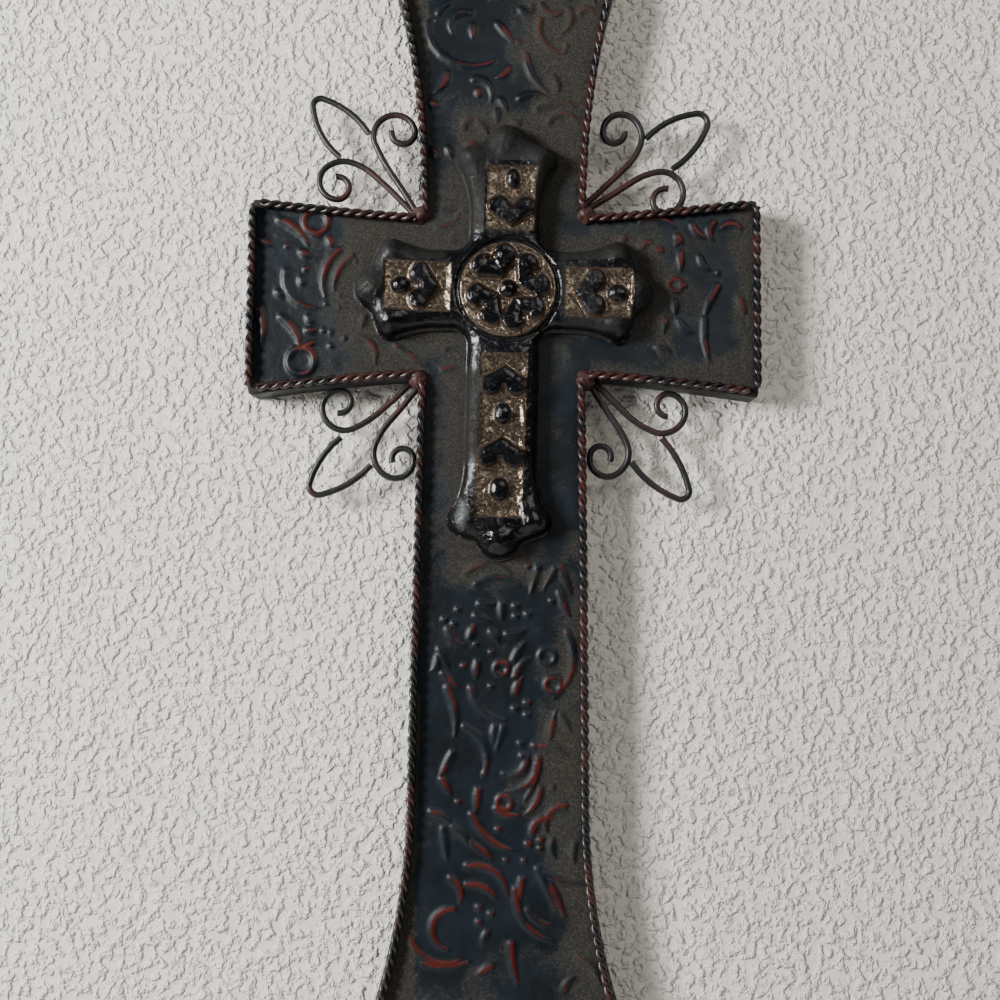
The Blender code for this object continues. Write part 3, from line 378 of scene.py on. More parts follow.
def sheet_surface(inset, cell):
    """The flat of the sheet, set in from its outline."""
    arms = []
    for arm in SHEET_ARMS.values():
        start, end = arm["start"] - inset, arm["reach"] - inset
        count = round((end - start) / cell)
        distances = [start + (end - start) * index / count for index in range(count + 1)]
        rows = [(distance, sheet_half_width(arm, distance) - inset) for distance in distances]
        arms.append((arm["out"], rows))
    bm = cross_surface(arms, UPRIGHT_HALF - inset, SIDE_HALF - inset, cell)
    for arm in SHEET_ARMS.values():
        ox, oz = arm["out"]
        for vert in bm.verts:
            if vert.co.x * ox + vert.co.z * oz > arm["reach"] - SHEET_CORNER - cell:
                vert.co.x, vert.co.z = rounded_sheet_corner(arm, (vert.co.x, vert.co.z), inset)
    return bm


def ramp(values, start, width):
    """A share that climbs from 0 at start to 1 a width further on."""
    return np.clip((values - start) / width, 0, 1)


def to_segment(x, z, start, end):
    """For each place, the share along a straight segment that it lies at, and how far it is from it."""
    (ax, az), (bx, bz) = start, end
    rx, rz = bx - ax, bz - az
    share = np.clip(((x - ax) * rx + (z - az) * rz) / max(rx * rx + rz * rz, 1e-9), 0, 1)
    return share, np.hypot(x - ax - share * rx, z - az - share * rz)


def swell(away, foot):
    return 0.5 + 0.5 * np.cos(math.pi * np.clip(away / foot, 0, 1))


def crest_of(away):
    return ramp(-away, -CREST_EDGE, CREST_SOFTNESS)


def relief(x, z):
    """Height of the embossing and share of a crest, in mm from the crossing, for arrays of places."""
    height = np.zeros(x.shape)
    crest = np.zeros(x.shape)
    for start_x, start_z, heading, length, turn in STROKES:
        path = bent_line((start_x, start_z), heading, ((length, turn),), 15.0)
        xs, zs = zip(*path)
        reach = STROKE_HALF * 2
        near = (x > min(xs) - reach) & (x < max(xs) + reach) & (z > min(zs) - reach) & (z < max(zs) + reach)
        best = np.full(x[near].shape, 9.0)
        width = np.full(best.shape, 1.0)
        for index, ends in enumerate(zip(path, path[1:])):
            share, gap = to_segment(x[near], z[near], *ends)
            along = (index + share) / (len(path) - 1)
            half = STROKE_HALF * (1 - STROKE_TAPER * (along - STROKE_FULLEST) ** 2)
            width = np.where(gap / half < best, half, width)
            best = np.minimum(best, gap / half)
        rise = swell(best, STROKE_FOOT) * STROKE_HEIGHT * (0.45 + 0.55 * width / STROKE_HALF)
        height[near] = np.maximum(height[near], rise)
        crest[near] = np.maximum(crest[near], crest_of(best))
    for bead_x, bead_z, radius, *bore in BEADS:
        away = np.hypot(x - bead_x, z - bead_z) / BEAD_FULLNESS
        if bore:
            away = np.abs(away - (radius + bore[0]) / 2)
            radius = (radius - bore[0]) / 2 + 0.5
        away = away / radius
        rise = swell(away, BEAD_FOOT) * STROKE_HEIGHT * min(1.0, radius / BEAD_FULL_SIZE)
        height = np.maximum(height, rise)
        crest = np.maximum(crest, crest_of(away))
    return height, crest


def boundary(bm):
    return [edge for edge in bm.edges if edge.is_boundary]


def spot(vert):
    return (round(vert.co.x, 6), round(vert.co.z, 6))


def outward_steps(edges):
    """For each border point, the step that moves it a unit outwards and keeps both its sides parallel."""
    normals = {}
    for edge in edges:
        along = edge.verts[1].co - edge.verts[0].co
        normal = Vector((along.z, 0.0, -along.x)).normalized()
        middle = (edge.verts[0].co + edge.verts[1].co) / 2
        if normal.dot(middle - edge.link_faces[0].calc_center_median()) < 0:
            normal = -normal
        for vert in edge.verts:
            normals.setdefault(spot(vert), []).append(normal)
    return {key: (pair[0] + pair[-1]) / (1 + pair[0].dot(pair[-1])) for key, pair in normals.items()}


def only(parts, kind):
    return [part for part in parts if isinstance(part, kind)]


def fold_border(bm, edges, profile):
    """Extrudes a border through a list of steps outwards and back."""
    steps = outward_steps(edges)
    for out, back in profile:
        new = bmesh.ops.extrude_edge_only(bm, edges=edges)["geom"]
        moved = {}
        for vert in only(new, bmesh.types.BMVert):
            step = steps[spot(vert)]
            vert.co += step * out + Vector((0.0, back, 0.0))
            moved[spot(vert)] = step
        steps = moved
        edges = only(new, bmesh.types.BMEdge)


def bend_profile(radius, steps):
    """The steps of a quarter round bend from facing forwards to facing outwards."""
    places = [(radius * math.sin(angle), radius * (1 - math.cos(angle)))
              for angle in (math.radians(90 * index / steps) for index in range(steps + 1))]
    return [(after[0] - before[0], after[1] - before[1]) for before, after in zip(places, places[1:])]


def rows_of(things, name):
    """The points or normals of a mesh, one row of three numbers each."""
    flat = np.empty(len(things) * 3)
    things.foreach_get(name, flat)
    return flat.reshape(-1, 3)


def move_points(mesh, points):
    mesh.vertices.foreach_set("co", points.ravel())
    mesh.update()


def mark(mesh, name, values):
    mesh.attributes.new(name, "FLOAT", "POINT").data.foreach_set("value", values)


def add_piece(mesh, finish, nodes):
    """Puts a finished piece in place of its CAD nodes."""
    mesh.materials.append(finish)
    mesh.shade_smooth()
    piece = add_object(mesh.name, mesh)
    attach(piece, "root")
    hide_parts(*nodes)


def cross_distance(x, z):
    """Distance in mm from the ceramic cross, taken as two plain bars."""
    upright = np.hypot(np.maximum(np.abs(x) - 18, 0), np.maximum(np.maximum(z - 86, -134 - z), 0))
    side = np.hypot(np.maximum(np.abs(x) - 74, 0), np.maximum(np.abs(z - 2) - 20, 0))
    return np.minimum(upright, side)


def sheet_mesh():
    front = sheet_surface(RIM_BEND, SHEET_CELL)
    places = np.array([(mm(vert.co.x), mm(vert.co.z)) for vert in front.verts])
    height, _ = relief(places[:, 0], places[:, 1])
    raised = {vert for vert, rise in zip(front.verts, height) if rise > RAISED_FROM}
    split = [edge for edge in front.edges if edge.verts[0] in raised or edge.verts[1] in raised]
    bmesh.ops.subdivide_edges(front, edges=split, cuts=1, use_grid_fill=True)
    bmesh.ops.triangulate(front, faces=[face for face in front.faces if len(face.verts) > 4])
    bmesh.ops.translate(front, verts=front.verts, vec=(0, SHEET_FRONT, 0))
    wall = [(0.0, (-SHEET_FRONT - RIM_BEND) / 3)] * 3
    lip = [(-SHEET, 0.0)]
    fold_border(front, boundary(front), bend_profile(RIM_BEND, BEND_STEPS) + wall + lip)
    back = sheet_surface(SHEET + RIM_BEND, BACK_CELL)
    bmesh.ops.reverse_faces(back, faces=back.faces)
    bmesh.ops.translate(back, verts=back.verts, vec=(0, SHEET_FRONT + SHEET, 0))
    fold_border(back, boundary(back), bend_profile(RIM_BEND, BEND_STEPS))
    liner = finished_mesh(back, "liner")
    front.from_mesh(liner)
    bpy.data.meshes.remove(liner)
    bmesh.ops.bridge_loops(front, edges=boundary(front))
    bmesh.ops.triangulate(front, faces=[face for face in front.faces if len(face.verts) > 4])
    return finished_mesh(front, "embossed_sheet")


def dress_sheet(mesh):
    """Raises the embossing and marks rubbed paint and dust. Places are in mm from the crossing."""
    points = rows_of(mesh.vertices, "co")
    x, z = mm(points[:, 0]), mm(points[:, 2])
    height, _ = relief(x, z)
    _, crest = relief(x - RUB_SIDE[0], z - RUB_SIDE[1])
    # The embossing is faint round the ceramic and full further out
    faint = np.clip(np.maximum(np.abs(x), np.abs(z)) / FADE_REACH - 0.35, 0.25, 1)
    flat = (points[:, 1] < SHEET_FRONT + 1e-5) | (np.abs(points[:, 1] - SHEET_FRONT - SHEET) < 1e-5)
    points[:, 1] -= np.where(flat, height * faint / 1000, 0)
    points[:, 2] += CROSSING_Z
    move_points(mesh, points)
    front = rows_of(mesh.vertex_normals, "vector")[:, 1] < FRONT_NORMAL
    mark(mesh, "crest", np.where(front, crest * (0.35 + 0.65 * faint), 0))
    ring = np.exp(-np.maximum(cross_distance(x, z) - 4, 0) / 13)
    # Painted shade: less dust, so darker navy, right of the ceramic's leg and under its right arm, where its
    # shadow falls
    painted_shade_by_leg = (x > 12) & (x < 40) & (z > -140) & (z < -20)
    painted_shade_under_arm = (x > 12) & (x < 78) & (z > -46) & (z < -16)
    dust = {
        "round the ceramic": np.where(painted_shade_by_leg | painted_shade_under_arm, ring * 0.36, ring),
        "right of the leg": ramp(x - 8 * np.sin(z / 31), 14, 22) * (z < -120) * 0.85,
        "foot": ramp(-z, 316, 30) * 0.35,
        "right of the top": ramp(x + (z - 90) * 0.1, -2, 26) * (z > 60) * 0.85,
        "right arm": ramp(x, 112, 12) * 0.9 + ramp(-z, 26, 12) * (x > 45) * 0.9,
        "left arm": ramp(x, -98, 26) * (x < -40) * 0.75,
        "arm edges": ramp(np.abs(z), 40, 8) * (np.abs(x) > 50) * 0.7,
    }
    cover = np.maximum.reduce(list(dust.values())) - crest * CREST_CLEAN
    mark(mesh, "dust", np.where(front, np.clip(cover, 0, 1), BACK_DUST))


def group(name, inputs, outputs):
    """A shared node group. Its sockets are given as names and kinds."""
    tree = bpy.data.node_groups.new(name, "ShaderNodeTree")
    for side, sockets in (("INPUT", inputs), ("OUTPUT", outputs)):
        for label, kind in sockets.items():
            tree.interface.new_socket(label, in_out=side, socket_type=f"NodeSocket{kind}")
    return tree, tree.nodes.new("NodeGroupInput").outputs, tree.nodes.new("NodeGroupOutput").inputs


def rubbed_paint():
    """Top paint worn through to a red undercoat in patches, more of it where Rub is high."""
    inputs = {"Paint": "Color", "Undercoat": "Color", "Rub": "Float", "Patches": "Float"}
    tree, given, result = group("rubbed_paint", inputs, {"Color": "Color"})
    patches = clouds(tree, given["Patches"], 4.0, 0.6)
    fine = clouds(tree, 1500.0, 2.0)
    edge = calc(tree, "MULTIPLY_ADD", fine, 0.22, calc(tree, "ADD", patches, -0.11))
    limit = calc(tree, "SUBTRACT", 1.0, given["Rub"])
    worn = between(tree, calc(tree, "SUBTRACT", edge, limit), -0.10, 0.14)
    plug(tree, result["Color"], mixed(tree, worn, given["Paint"], given["Undercoat"]))
    return tree


def house_dust():
    """Grey-brown dust in a speckled film. Cover says how much of it there is."""
    inputs = {"Paint": "Color", "Roughness": "Float", "Cover": "Float"}
    outputs = {"Color": "Color", "Roughness": "Float", "Grain": "Float"}
    tree, given, result = group("house_dust", inputs, outputs)
    drift = clouds(tree, 42.0, 4.0, 0.62, 0.4)
    speck = clouds(tree, 1350.0, 2.0, 0.7)
    thick = calc(tree, "MULTIPLY_ADD", drift, 1.9, calc(tree, "ADD", given["Cover"], -1.38))
    loose = calc(tree, "MULTIPLY_ADD", speck, 0.85, calc(tree, "ADD", thick, -0.40))
    film = between(tree, loose, -0.22, 0.42)
    tint = mixed(tree, between(tree, speck, 0.42, 0.66), DUST_DARK, DUST_PALE)
    plug(tree, result["Color"], mixed(tree, calc(tree, "MULTIPLY", film, 0.88), given["Paint"], tint))
    rough = calc(tree, "MULTIPLY_ADD", film, 0.5, given["Roughness"])
    plug(tree, result["Roughness"], calc(tree, "MINIMUM", rough, 0.95))
    plug(tree, result["Grain"], calc(tree, "MULTIPLY", film, speck))
    return tree


RUBBED_PAINT = rubbed_paint()
HOUSE_DUST = house_dust()


def use_group(tree, shared, **values):
    node = tree.nodes.new("ShaderNodeGroup")
    node.node_tree = shared
    plug_all(tree, node, **values)
    return node.outputs


def marked(tree, name):
    node = tree.nodes.new("ShaderNodeAttribute")
    node.attribute_name = name
    return node.outputs["Fac"]


def sheet_paint():
    material, tree, shader = new_material("painted_sheet")
    faded = between(tree, clouds(tree, 38.0, 4.0, 0.6), 0.38, 0.68)
    navy = mixed(tree, faded, NAVY_DEEP, NAVY_FADED)
    rub_here = between(tree, clouds(tree, 34.0, 2.0), 0.38, 0.60, 0.34, 0.74)
    rub = calc(tree, "MULTIPLY", marked(tree, "crest"), rub_here)
    paint = use_group(tree, RUBBED_PAINT, Paint=navy, Undercoat=SHEET_RED, Rub=rub, Patches=95.0)
    dust = use_group(tree, HOUSE_DUST, Paint=paint["Color"], Roughness=0.47, Cover=marked(tree, "dust"))
    uneven = bumped(tree, clouds(tree, 130.0, 3.0, 0.5), 0.0007, 0.7)
    grainy = bumped(tree, dust["Grain"], 0.00012, 0.8, uneven)
    plug_all(tree, shader, Base_Color=dust["Color"], Roughness=dust["Roughness"], Normal=grainy,
             Specular_IOR_Level=0.31)
    return material


sheet = sheet_mesh()
dress_sheet(sheet)
add_piece(sheet, sheet_paint(), ["embossed_plate"])

# The edging is two strands of wire twisted together and laid along the front edge of every side and end. It
# is tacked down under the corner welds, painted with the sheet, and rubbed to red-brown near the corners.
EDGING_DIAMETER = 0.0047
STRAND_RADIUS = 0.00128
STRAND_OFFSET = 0.00107
TWIST_PITCH = 0.0120
EDGING_STEP = 0.0010
EDGING_OVERHANG = 0.0010
EDGING_END_INSET = 0.0016
EDGING_GAP = 0.0003
EDGING_Y = SHEET_FRONT - EDGING_GAP - EDGING_DIAMETER / 2
EDGING_CORNER_START = 0.0030
EDGING_STATIONS = 24
EDGING_RUB = (0.46, 0.59)
RUB_START = 42
RUB_SPREAD = 2600
WIRE_BLACK = (0.0040, 0.0046, 0.0060, 1.0)
WIRE_FADED = (0.0100, 0.0088, 0.0095, 1.0)
WIRE_RED = (0.044, 0.0120, 0.0105, 1.0)


def edging_side_line(arm, hand):
    """Middle line of the edging along one side of an arm, from the inner corner to the outer one."""
    start = arm["start"] + EDGING_CORNER_START
    end = arm["reach"] - EDGING_DIAMETER * 1.2
    points = []
    for index in range(EDGING_STATIONS + 1):
        distance = start + (end - start) * index / EDGING_STATIONS
        share = (distance - arm["start"]) / (arm["reach"] - arm["start"])
        inset = EDGING_DIAMETER / 2 - EDGING_OVERHANG + EDGING_END_INSET * share ** 2
        points.append(on_arm(arm["out"], distance, hand * (sheet_half_width(arm, distance) - inset)))
    return points


def edging_end_line(arm):
    distance = arm["reach"] - EDGING_DIAMETER / 2 + EDGING_OVERHANG
    across = sheet_half_width(arm, arm["reach"]) - EDGING_DIAMETER
    return [on_arm(arm["out"], distance, -across), on_arm(arm["out"], distance, across)]


def stations(line, spacing):
    """Even points along a line, each with the direction of the line there."""
    corners = np.array(line)
    runs = np.diff(corners, axis=0)
    marks = np.concatenate(([0.0], np.cumsum(np.hypot(runs[:, 0], runs[:, 1]))))
    places = np.linspace(0.0, marks[-1], max(2, round(marks[-1] / spacing)) + 1)
    spots = np.stack([np.interp(places, marks, corners[:, axis]) for axis in (0, 1)], axis=1)
    along = np.gradient(spots, axis=0)
    along /= np.hypot(along[:, 0], along[:, 1])[:, None]
    return places, spots, along


def tube_curve(name, lines, radius, resolution):
    """Round wires along lists of points, as one mesh."""
    curve = bpy.data.curves.new(name, "CURVE")
    curve.dimensions = "3D"
    curve.bevel_depth = radius
    curve.bevel_resolution = resolution
    curve.use_fill_caps = True
    for line in lines:
        spline = curve.splines.new("POLY")
        spline.points.add(len(line) - 1)
        for point, place in zip(spline.points, line):
            point.co = (*place, 1.0)
    draft = add_object(name, curve)
    mesh = bpy.data.meshes.new_from_object(draft.evaluated_get(bpy.context.evaluated_depsgraph_get()))
    bpy.data.objects.remove(draft)
    bpy.data.curves.remove(curve)
    mesh.name = name
    mesh.materials.clear()
    return mesh


def twisted_pair(line):
    """The middle lines of two strands twisted round a line."""
    places, spots, along = stations(line, EDGING_STEP)
    side = np.stack([-along[:, 1], along[:, 0]], axis=1)
    strands = []
    for phase in (0.0, math.pi):
        angle = 2 * math.pi * places / TWIST_PITCH + phase
        middle = spots + side * (STRAND_OFFSET * np.cos(angle))[:, None]
        depth = EDGING_Y + STRAND_OFFSET * np.sin(angle)
        strands.append([(x, y, CROSSING_Z + z) for (x, z), y in zip(middle, depth)])
    return strands


def mark_rub(mesh, least, most):
    """Rubbed paint, more of it towards the inner corners."""
    points = rows_of(mesh.vertices, "co")
    x = mm(np.abs(points[:, 0])) - RUB_START
    z = mm(np.abs(points[:, 2] - CROSSING_Z)) - RUB_START
    mark(mesh, "rub", least + (most - least) * np.exp(-(x * x + z * z) / RUB_SPREAD))


def wire_paint(name, roughness, patches):
    material, tree, shader = new_material(name)
    black = mixed(tree, between(tree, clouds(tree, 60.0), 0.35, 0.65), WIRE_BLACK, WIRE_FADED)
    rub = marked(tree, "rub")
    paint = use_group(tree, RUBBED_PAINT, Paint=black, Undercoat=WIRE_RED, Rub=rub, Patches=patches)
    rough = between(tree, clouds(tree, 700.0), 0.3, 0.7, roughness - 0.08, roughness + 0.14)
    uneven = bumped(tree, clouds(tree, 900.0), 0.00012, 0.5)
    plug_all(tree, shader, Base_Color=paint["Color"], Roughness=rough, Normal=uneven, Specular_IOR_Level=0.5)
    return material


edging_paint = wire_paint("twisted_wire_paint", 0.34, 60.0)
for arm_name, arm in SHEET_ARMS.items():
    lines = (("end", edging_end_line(arm)), ("side_a", edging_side_line(arm, 1)),
             ("side_b", edging_side_line(arm, -1)))
    for part, line in lines:
        twist = tube_curve(f"twist_{arm_name}_{part}", twisted_pair(line), STRAND_RADIUS, 2)
        mark_rub(twist, *EDGING_RUB)
        add_piece(twist, edging_paint, [f"edging_{arm_name}_{part}"])

# The scrolls and leaves are plain round wire bent cold in a jig, three to each inner corner. Both scrolls
# start under the corner weld, the leaf stands with a foot on each, and all are painted with the rest.
WIRE_RADIUS = 0.00165
WIRE_Y = SHEET_FRONT + 0.0048
SCROLL_RUB = (0.40, 0.52)
CORNERS = {"upper_left": (-1, 1), "upper_right": (1, 1), "lower_left": (-1, -1), "lower_right": (1, -1)}
WELD_MIDDLE = (1.0, 1.0)
INTO_WELD = 2.5
# Each wire as bent, in mm and degrees from its inner corner: start, heading, then lengths and their turns
WIRES = {
    "upper_left": {
        "upright_scroll": ((5.6, 6.8), 59.2, ((20.1, -5), (19.6, 13), (26.4, 135), (9.7, 53), (21.8, 202))),
        "arm_scroll": ((8.2, 6.2), 47.5, ((26.5, -7), (13.2, -25), (12.6, -51), (23.8, -139), (20.5, -193))),
        "leaf_wire": ((29.5, 46.2), 57.0, ((31.5, -39), (8.1, -114), (31.7, -45))),
    },
    "upper_right": {
        "upright_scroll": ((3.7, 10.9), 43.2, ((25.3, 1), (13.8, 26), (15.8, 68), (22.8, 138), (17.8, 179))),
        "arm_scroll": ((4.5, 7.3), 30.9, ((25.7, 3), (13.3, -25), (24.8, -124), (7.5, -39), (25.2, -218))),
        "leaf_wire": ((32.6, 43.8), 48.2, ((29.9, -42), (10.8, -116), (29.5, -38))),
    },
    "lower_left": {
        "upright_scroll": ((2.5, 5.8), 52.7, ((21.3, -4), (13.5, 19), (19.3, 82), (20.9, 129), (18.4, 190))),
        "arm_scroll": ((4.9, 2.0), 46.5, ((25, -7), (13.4, -15), (24.4, -120), (14, -93), (18.4, -182))),
        "leaf_wire": ((25.2, 44.9), 49.2, ((30.6, -36), (10, -119), (29, -35))),
    },
    "lower_right": {
        "upright_scroll": ((3.8, 2.9), 59.2, ((25, -5), (10.9, 15), (17.9, 81), (22.1, 140), (17.3, 186))),
        "arm_scroll": ((6.4, 1.9), 45.2, ((20.8, 0), (17.9, -22), (19.6, -93), (16, -97), (19.6, -189))),
        "leaf_wire": ((24.8, 42.3), 56.4, ((30.8, -36), (9.2, -123), (30, -31))),
    },
}


def in_corner(points, corner):
    """Places in mm from an inner corner, turned into that corner of the cross."""
    side_x, side_z = CORNERS[corner]
    return [(side_x * (UPRIGHT_HALF + x / 1000), WIRE_Y, CROSSING_Z + side_z * (SIDE_HALF + z / 1000))
            for x, z in points]


def bent_wire(start, heading, bends, welded):
    """A wire's points. A welded one starts with a straight lead out of the weld."""
    points = bent_line(start, heading, bends, 7.0)
    if not welded:
        return points
    lead = math.dist(start, WELD_MIDDLE) - INTO_WELD
    angle = math.radians(heading)
    return [(start[0] - lead * math.cos(angle), start[1] - lead * math.sin(angle))] + points


scroll_paint = wire_paint("scroll_wire_paint", 0.42, 45.0)
for corner, wires in WIRES.items():
    for kind, (start, heading, bends) in wires.items():
        node = f"{kind}_{corner}"
        line = bent_wire(start, heading, bends, kind != "leaf_wire")
        wire = tube_curve(f"bent_{node}", [in_corner(line, corner)], WIRE_RADIUS, 4)
        mark_rub(wire, *SCROLL_RUB)
        add_piece(wire, scroll_paint, [node])

# A lump of weld metal in each inner corner holds the scrolls and the ends of the edging to the rim. It is
# rough, painted thinly and rubbed to red-brown.
WELD_RADIUS = 0.0052
WELD_DEPTH = 0.0150
WELD_PROUD = 0.0044
WELD_ROUGHNESS = 0.0010
WELD_LUMPS = 260
WELD_RUB = (0.5, 0.66)


def weld_mesh(corner):
    bm = bmesh.new()
    bmesh.ops.create_icosphere(bm, subdivisions=4, radius=WELD_RADIUS)
    bmesh.ops.scale(bm, verts=bm.verts, vec=(1.0, WELD_DEPTH / 2 / WELD_RADIUS, 1.0))
    (x, _, z), = in_corner([WELD_MIDDLE], corner)
    middle = Vector((x, SHEET_FRONT - WELD_PROUD + WELD_DEPTH / 2, z))
    for vert in bm.verts:
        place = (vert.co + middle) * WELD_LUMPS
        lump = noise.noise(place) + 0.5 * noise.noise(place * 2.3)
        vert.co += vert.co.normalized() * WELD_ROUGHNESS * lump
    bmesh.ops.translate(bm, verts=bm.verts, vec=middle)
    mesh = finished_mesh(bm, f"weld_{corner}")
    mark_rub(mesh, *WELD_RUB)
    return mesh


weld_paint = wire_paint("weld_paint", 0.55, 160.0)
for corner in CORNERS:
    add_piece(weld_mesh(corner), weld_paint, [f"corner_weld_{corner}"])

# The small cross in the middle is pressed clay with budded ends, sunk panels and a round medallion of four
# petals. Its thick dark glaze breaks to brown on the edges and pools bronze in the panels. It is glued on.
GLUE = 0.0003
CERAMIC_BACK = SHEET_FRONT - GLUE
CERAMIC_CELL = 0.00062
CERAMIC_REACHES = {(0, 1): 87.6, (-1, 0): 77.6, (0, -1): 137.9, (1, 0): 77.6}
CERAMIC_UPRIGHT_HALF = 18.8
CERAMIC_SIDE_HALF = 21.2
LOBE_RADIUS = 11.5
LOBE_TURN = 62.0
NOTCH_RADIUS = 7.0
NOTCH_TURN = 42.0
BUD_STEM = 8.0
BUD_RADIUS = 8.0
NECK_RADIUS = 50.0
INNER_RADIUS = 7.0
INNER_STEPS = 7
CERAMIC_MIDDLE = (0.6, 2.4)
CERAMIC_LEAN = -0.7
RELIEF_MIDDLE = (2.8, 1.4)
RELIEF_LEAN = -2.0
LIP_HEIGHT = 1.7
LIP_WIDTH = 1.3
SHOULDER = 7.0
STEEP_WIDTH = 2.2
STEEP_RISE = 4.3
BODY_HEIGHT = 9.4
BOSS_HEIGHT = 2.6
BOSS_RADIUS = 6.4
SIDE_BOSS = (20.5, 17.5)
PANEL_FLOOR = 8.2
PANELS = ((-12.4, 30.3, 12.4, 63.9), (-63.1, -12.8, -28.8, 12.8), (-11.9, -115.1, 11.9, -32.4),
          (28.8, -12.8, 63.1, 12.8))
HEARTS = (((0.0, 31.3), 90), ((-33.6, 0.0), 180), ((32.4, 0.0), 0), ((0.0, -37.6), 270), ((0.0, -73.8), 270))
HEART_SHAPE = (17.4, 6.4, 1.02)
PETALS = ((31, 4.2, 16.6), (119, 5.0, 17.8), (217, 4.4, 16.8), (303, 4.6, 17.2))
PETAL_LOBE = (7.1, 0.80)
CREASE_DEPTH = 0.9
BEAD_SPOTS = ((0.0, 0.0, 4.7, 4.7), (0.0, 57.2, 3.6, 5.2), (-54.4, 0.0, 5.0, 4.6), (55.1, 0.0, 5.2, 4.6),
              (0.0, -63.3, 4.4, 5.6), (0.0, -101.2, 5.0, 6.2))
MEDALLION_RADIUS = 24.6
MEDALLION_FLOOR = 9.4
MOTIF_HEIGHT = 2.7
MOTIF_WALL = 2.0
BEAD_HEIGHT = 3.6
# The glaze's unevenness, as heights in mm and how fine each is
WOBBLE = ((0.30, 90), (0.30, 260), (0.20, 620))
# Places of painted reflection and of crazing: middle across and up from the crossing, and half width and
# height, in mm
LOBE_SPOT = (-19, -112, 6, 13)
SHOULDER_SPOT = (-14.5, -88, 4, 13)
NECK_SPOT = (-14, 55, 4, 9)
ARM_SPOT = (-62, -8, 8, 8)
GLAZE_BLACK = (0.0024, 0.0024, 0.0034, 1.0)
# The bluish black is a painted sheen, in patches on the black glaze
GLAZE_BLUE_SHEEN = (0.0070, 0.0075, 0.0110, 1.0)
BRONZE_DARK = (0.080, 0.060, 0.042, 1.0)
BRONZE_PALE = (0.255, 0.205, 0.155, 1.0)
THIN_GLAZE = (0.105, 0.040, 0.016, 1.0)
# The light tan of the lip is a painted highlight
LIP_HIGHLIGHT_TAN = (0.070, 0.058, 0.046, 1.0)
# The silvery grey is a painted reflection
PAINTED_REFLECTION_GREY = (0.135, 0.150, 0.160, 1.0)
GLAZE_FILM = (0.0130, 0.0126, 0.0112, 1.0)


def arc_bend(radius, turn):
    """A bend round an arc, as its length and its turn."""
    return radius * math.radians(abs(turn)), turn


def budded_end(neck_half):
    """Half the outline of a budded end, from its tip to its neck: distance inwards and distance across."""
    bends = (arc_bend(LOBE_RADIUS, -LOBE_TURN), arc_bend(NOTCH_RADIUS, NOTCH_TURN), (BUD_STEM, 0.0))
    points = bent_line((0.0, 0.0), 90.0, bends, 3.0)
    bud_heading = 90.0 - LOBE_TURN + NOTCH_TURN
    level = neck_half - points[-1][1] + BUD_RADIUS * math.cos(math.radians(bud_heading)) + NECK_RADIUS
    neck_turn = math.degrees(math.acos(min(1.0, level / (BUD_RADIUS + NECK_RADIUS))))
    bends = (arc_bend(BUD_RADIUS, -bud_heading - neck_turn), arc_bend(NECK_RADIUS, neck_turn))
    return points + bent_line(points[-1], bud_heading, bends, 2.5)[1:]


def ceramic_rows(reach, half, other):
    """Rows of distance and half width in metres, from the inner corner's rounding out to the tip."""
    rows = []
    for index in range(INNER_STEPS + 1):
        angle = math.radians(45 * (1 - index / INNER_STEPS))
        distance = other + INNER_RADIUS * (1 - math.sin(angle))
        rows.append((distance, half + INNER_RADIUS * (1 - math.cos(angle))))
    end = [(reach - inward, across) for inward, across in reversed(budded_end(half))]
    straight = end[0][0] - rows[-1][0]
    count = max(1, round(straight / mm(CERAMIC_CELL)))
    rows += [(rows[-1][0] + straight * index / count, half) for index in range(1, count)]
    _, spots, _ = stations(end, mm(CERAMIC_CELL))
    rows += [tuple(place) for place in spots]
    return [(distance / 1000, max(across, 0.0) / 1000) for distance, across in rows]


def ceramic_outline(arms):
    """The ceramic's outline in mm in its own frame, anticlockwise."""
    outline = []
    for out, rows in arms:
        side = [(mm(distance), mm(half)) for distance, half in rows]
        outline += [on_arm(out, distance, half) for distance, half in side]
        outline += [on_arm(out, distance, -half) for distance, half in reversed(side[:-1])]
    return outline


def depth_inside(x, z, outline):
    """How deep places lie inside a closed outline, negative outside it."""
    nearest = np.full(x.shape, 1e6)
    inside = np.zeros(x.shape, bool)
    for (ax, az), (bx, bz) in zip(outline[-1:] + outline[:-1], outline):
        nearest = np.minimum(nearest, to_segment(x, z, (ax, az), (bx, bz))[1])
        if az != bz:
            inside ^= ((az > z) != (bz > z)) & (x < ax + (z - az) / (bz - az) * (bx - ax))
    return np.where(inside, nearest, -nearest)


def eased(values, start=0.0, width=1.0):
    """A share that eases from 0 at start to 1 a width further on."""
    share = ramp(values, start, width)
    return share * share * (3 - 2 * share)


def turned(x, z, degrees):
    angle = math.radians(degrees)
    return x * math.cos(angle) - z * math.sin(angle), x * math.sin(angle) + z * math.cos(angle)


def heart(tip, heading, length, lobe, spread):
    """A heart's outline. Its point is at tip and its two lobes are a length away."""
    along = Vector(turned(1.0, 0.0, heading))
    side = Vector((-along.y, along.x))
    middle = length - lobe
    arc = [math.radians(-35 + 200 * index / 12) for index in range(13)]
    half = [(middle + lobe * math.sin(angle), lobe * spread + lobe * math.cos(angle)) for angle in arc]
    tip = Vector(tip)
    right = [tip + along * a - side * b for a, b in half]
    left = [tip + along * a + side * b for a, b in reversed(half)]
    return [tuple(point) for point in [tip] + right + left]


def boss_spots():
    inwards, across = SIDE_BOSS
    spots = []
    for out, reach in CERAMIC_REACHES.items():
        spots.append(on_arm(out, reach - LOBE_RADIUS, 0.0))
        spots += [on_arm(out, reach - inwards, hand * across) for hand in (-1, 1)]
    return spots


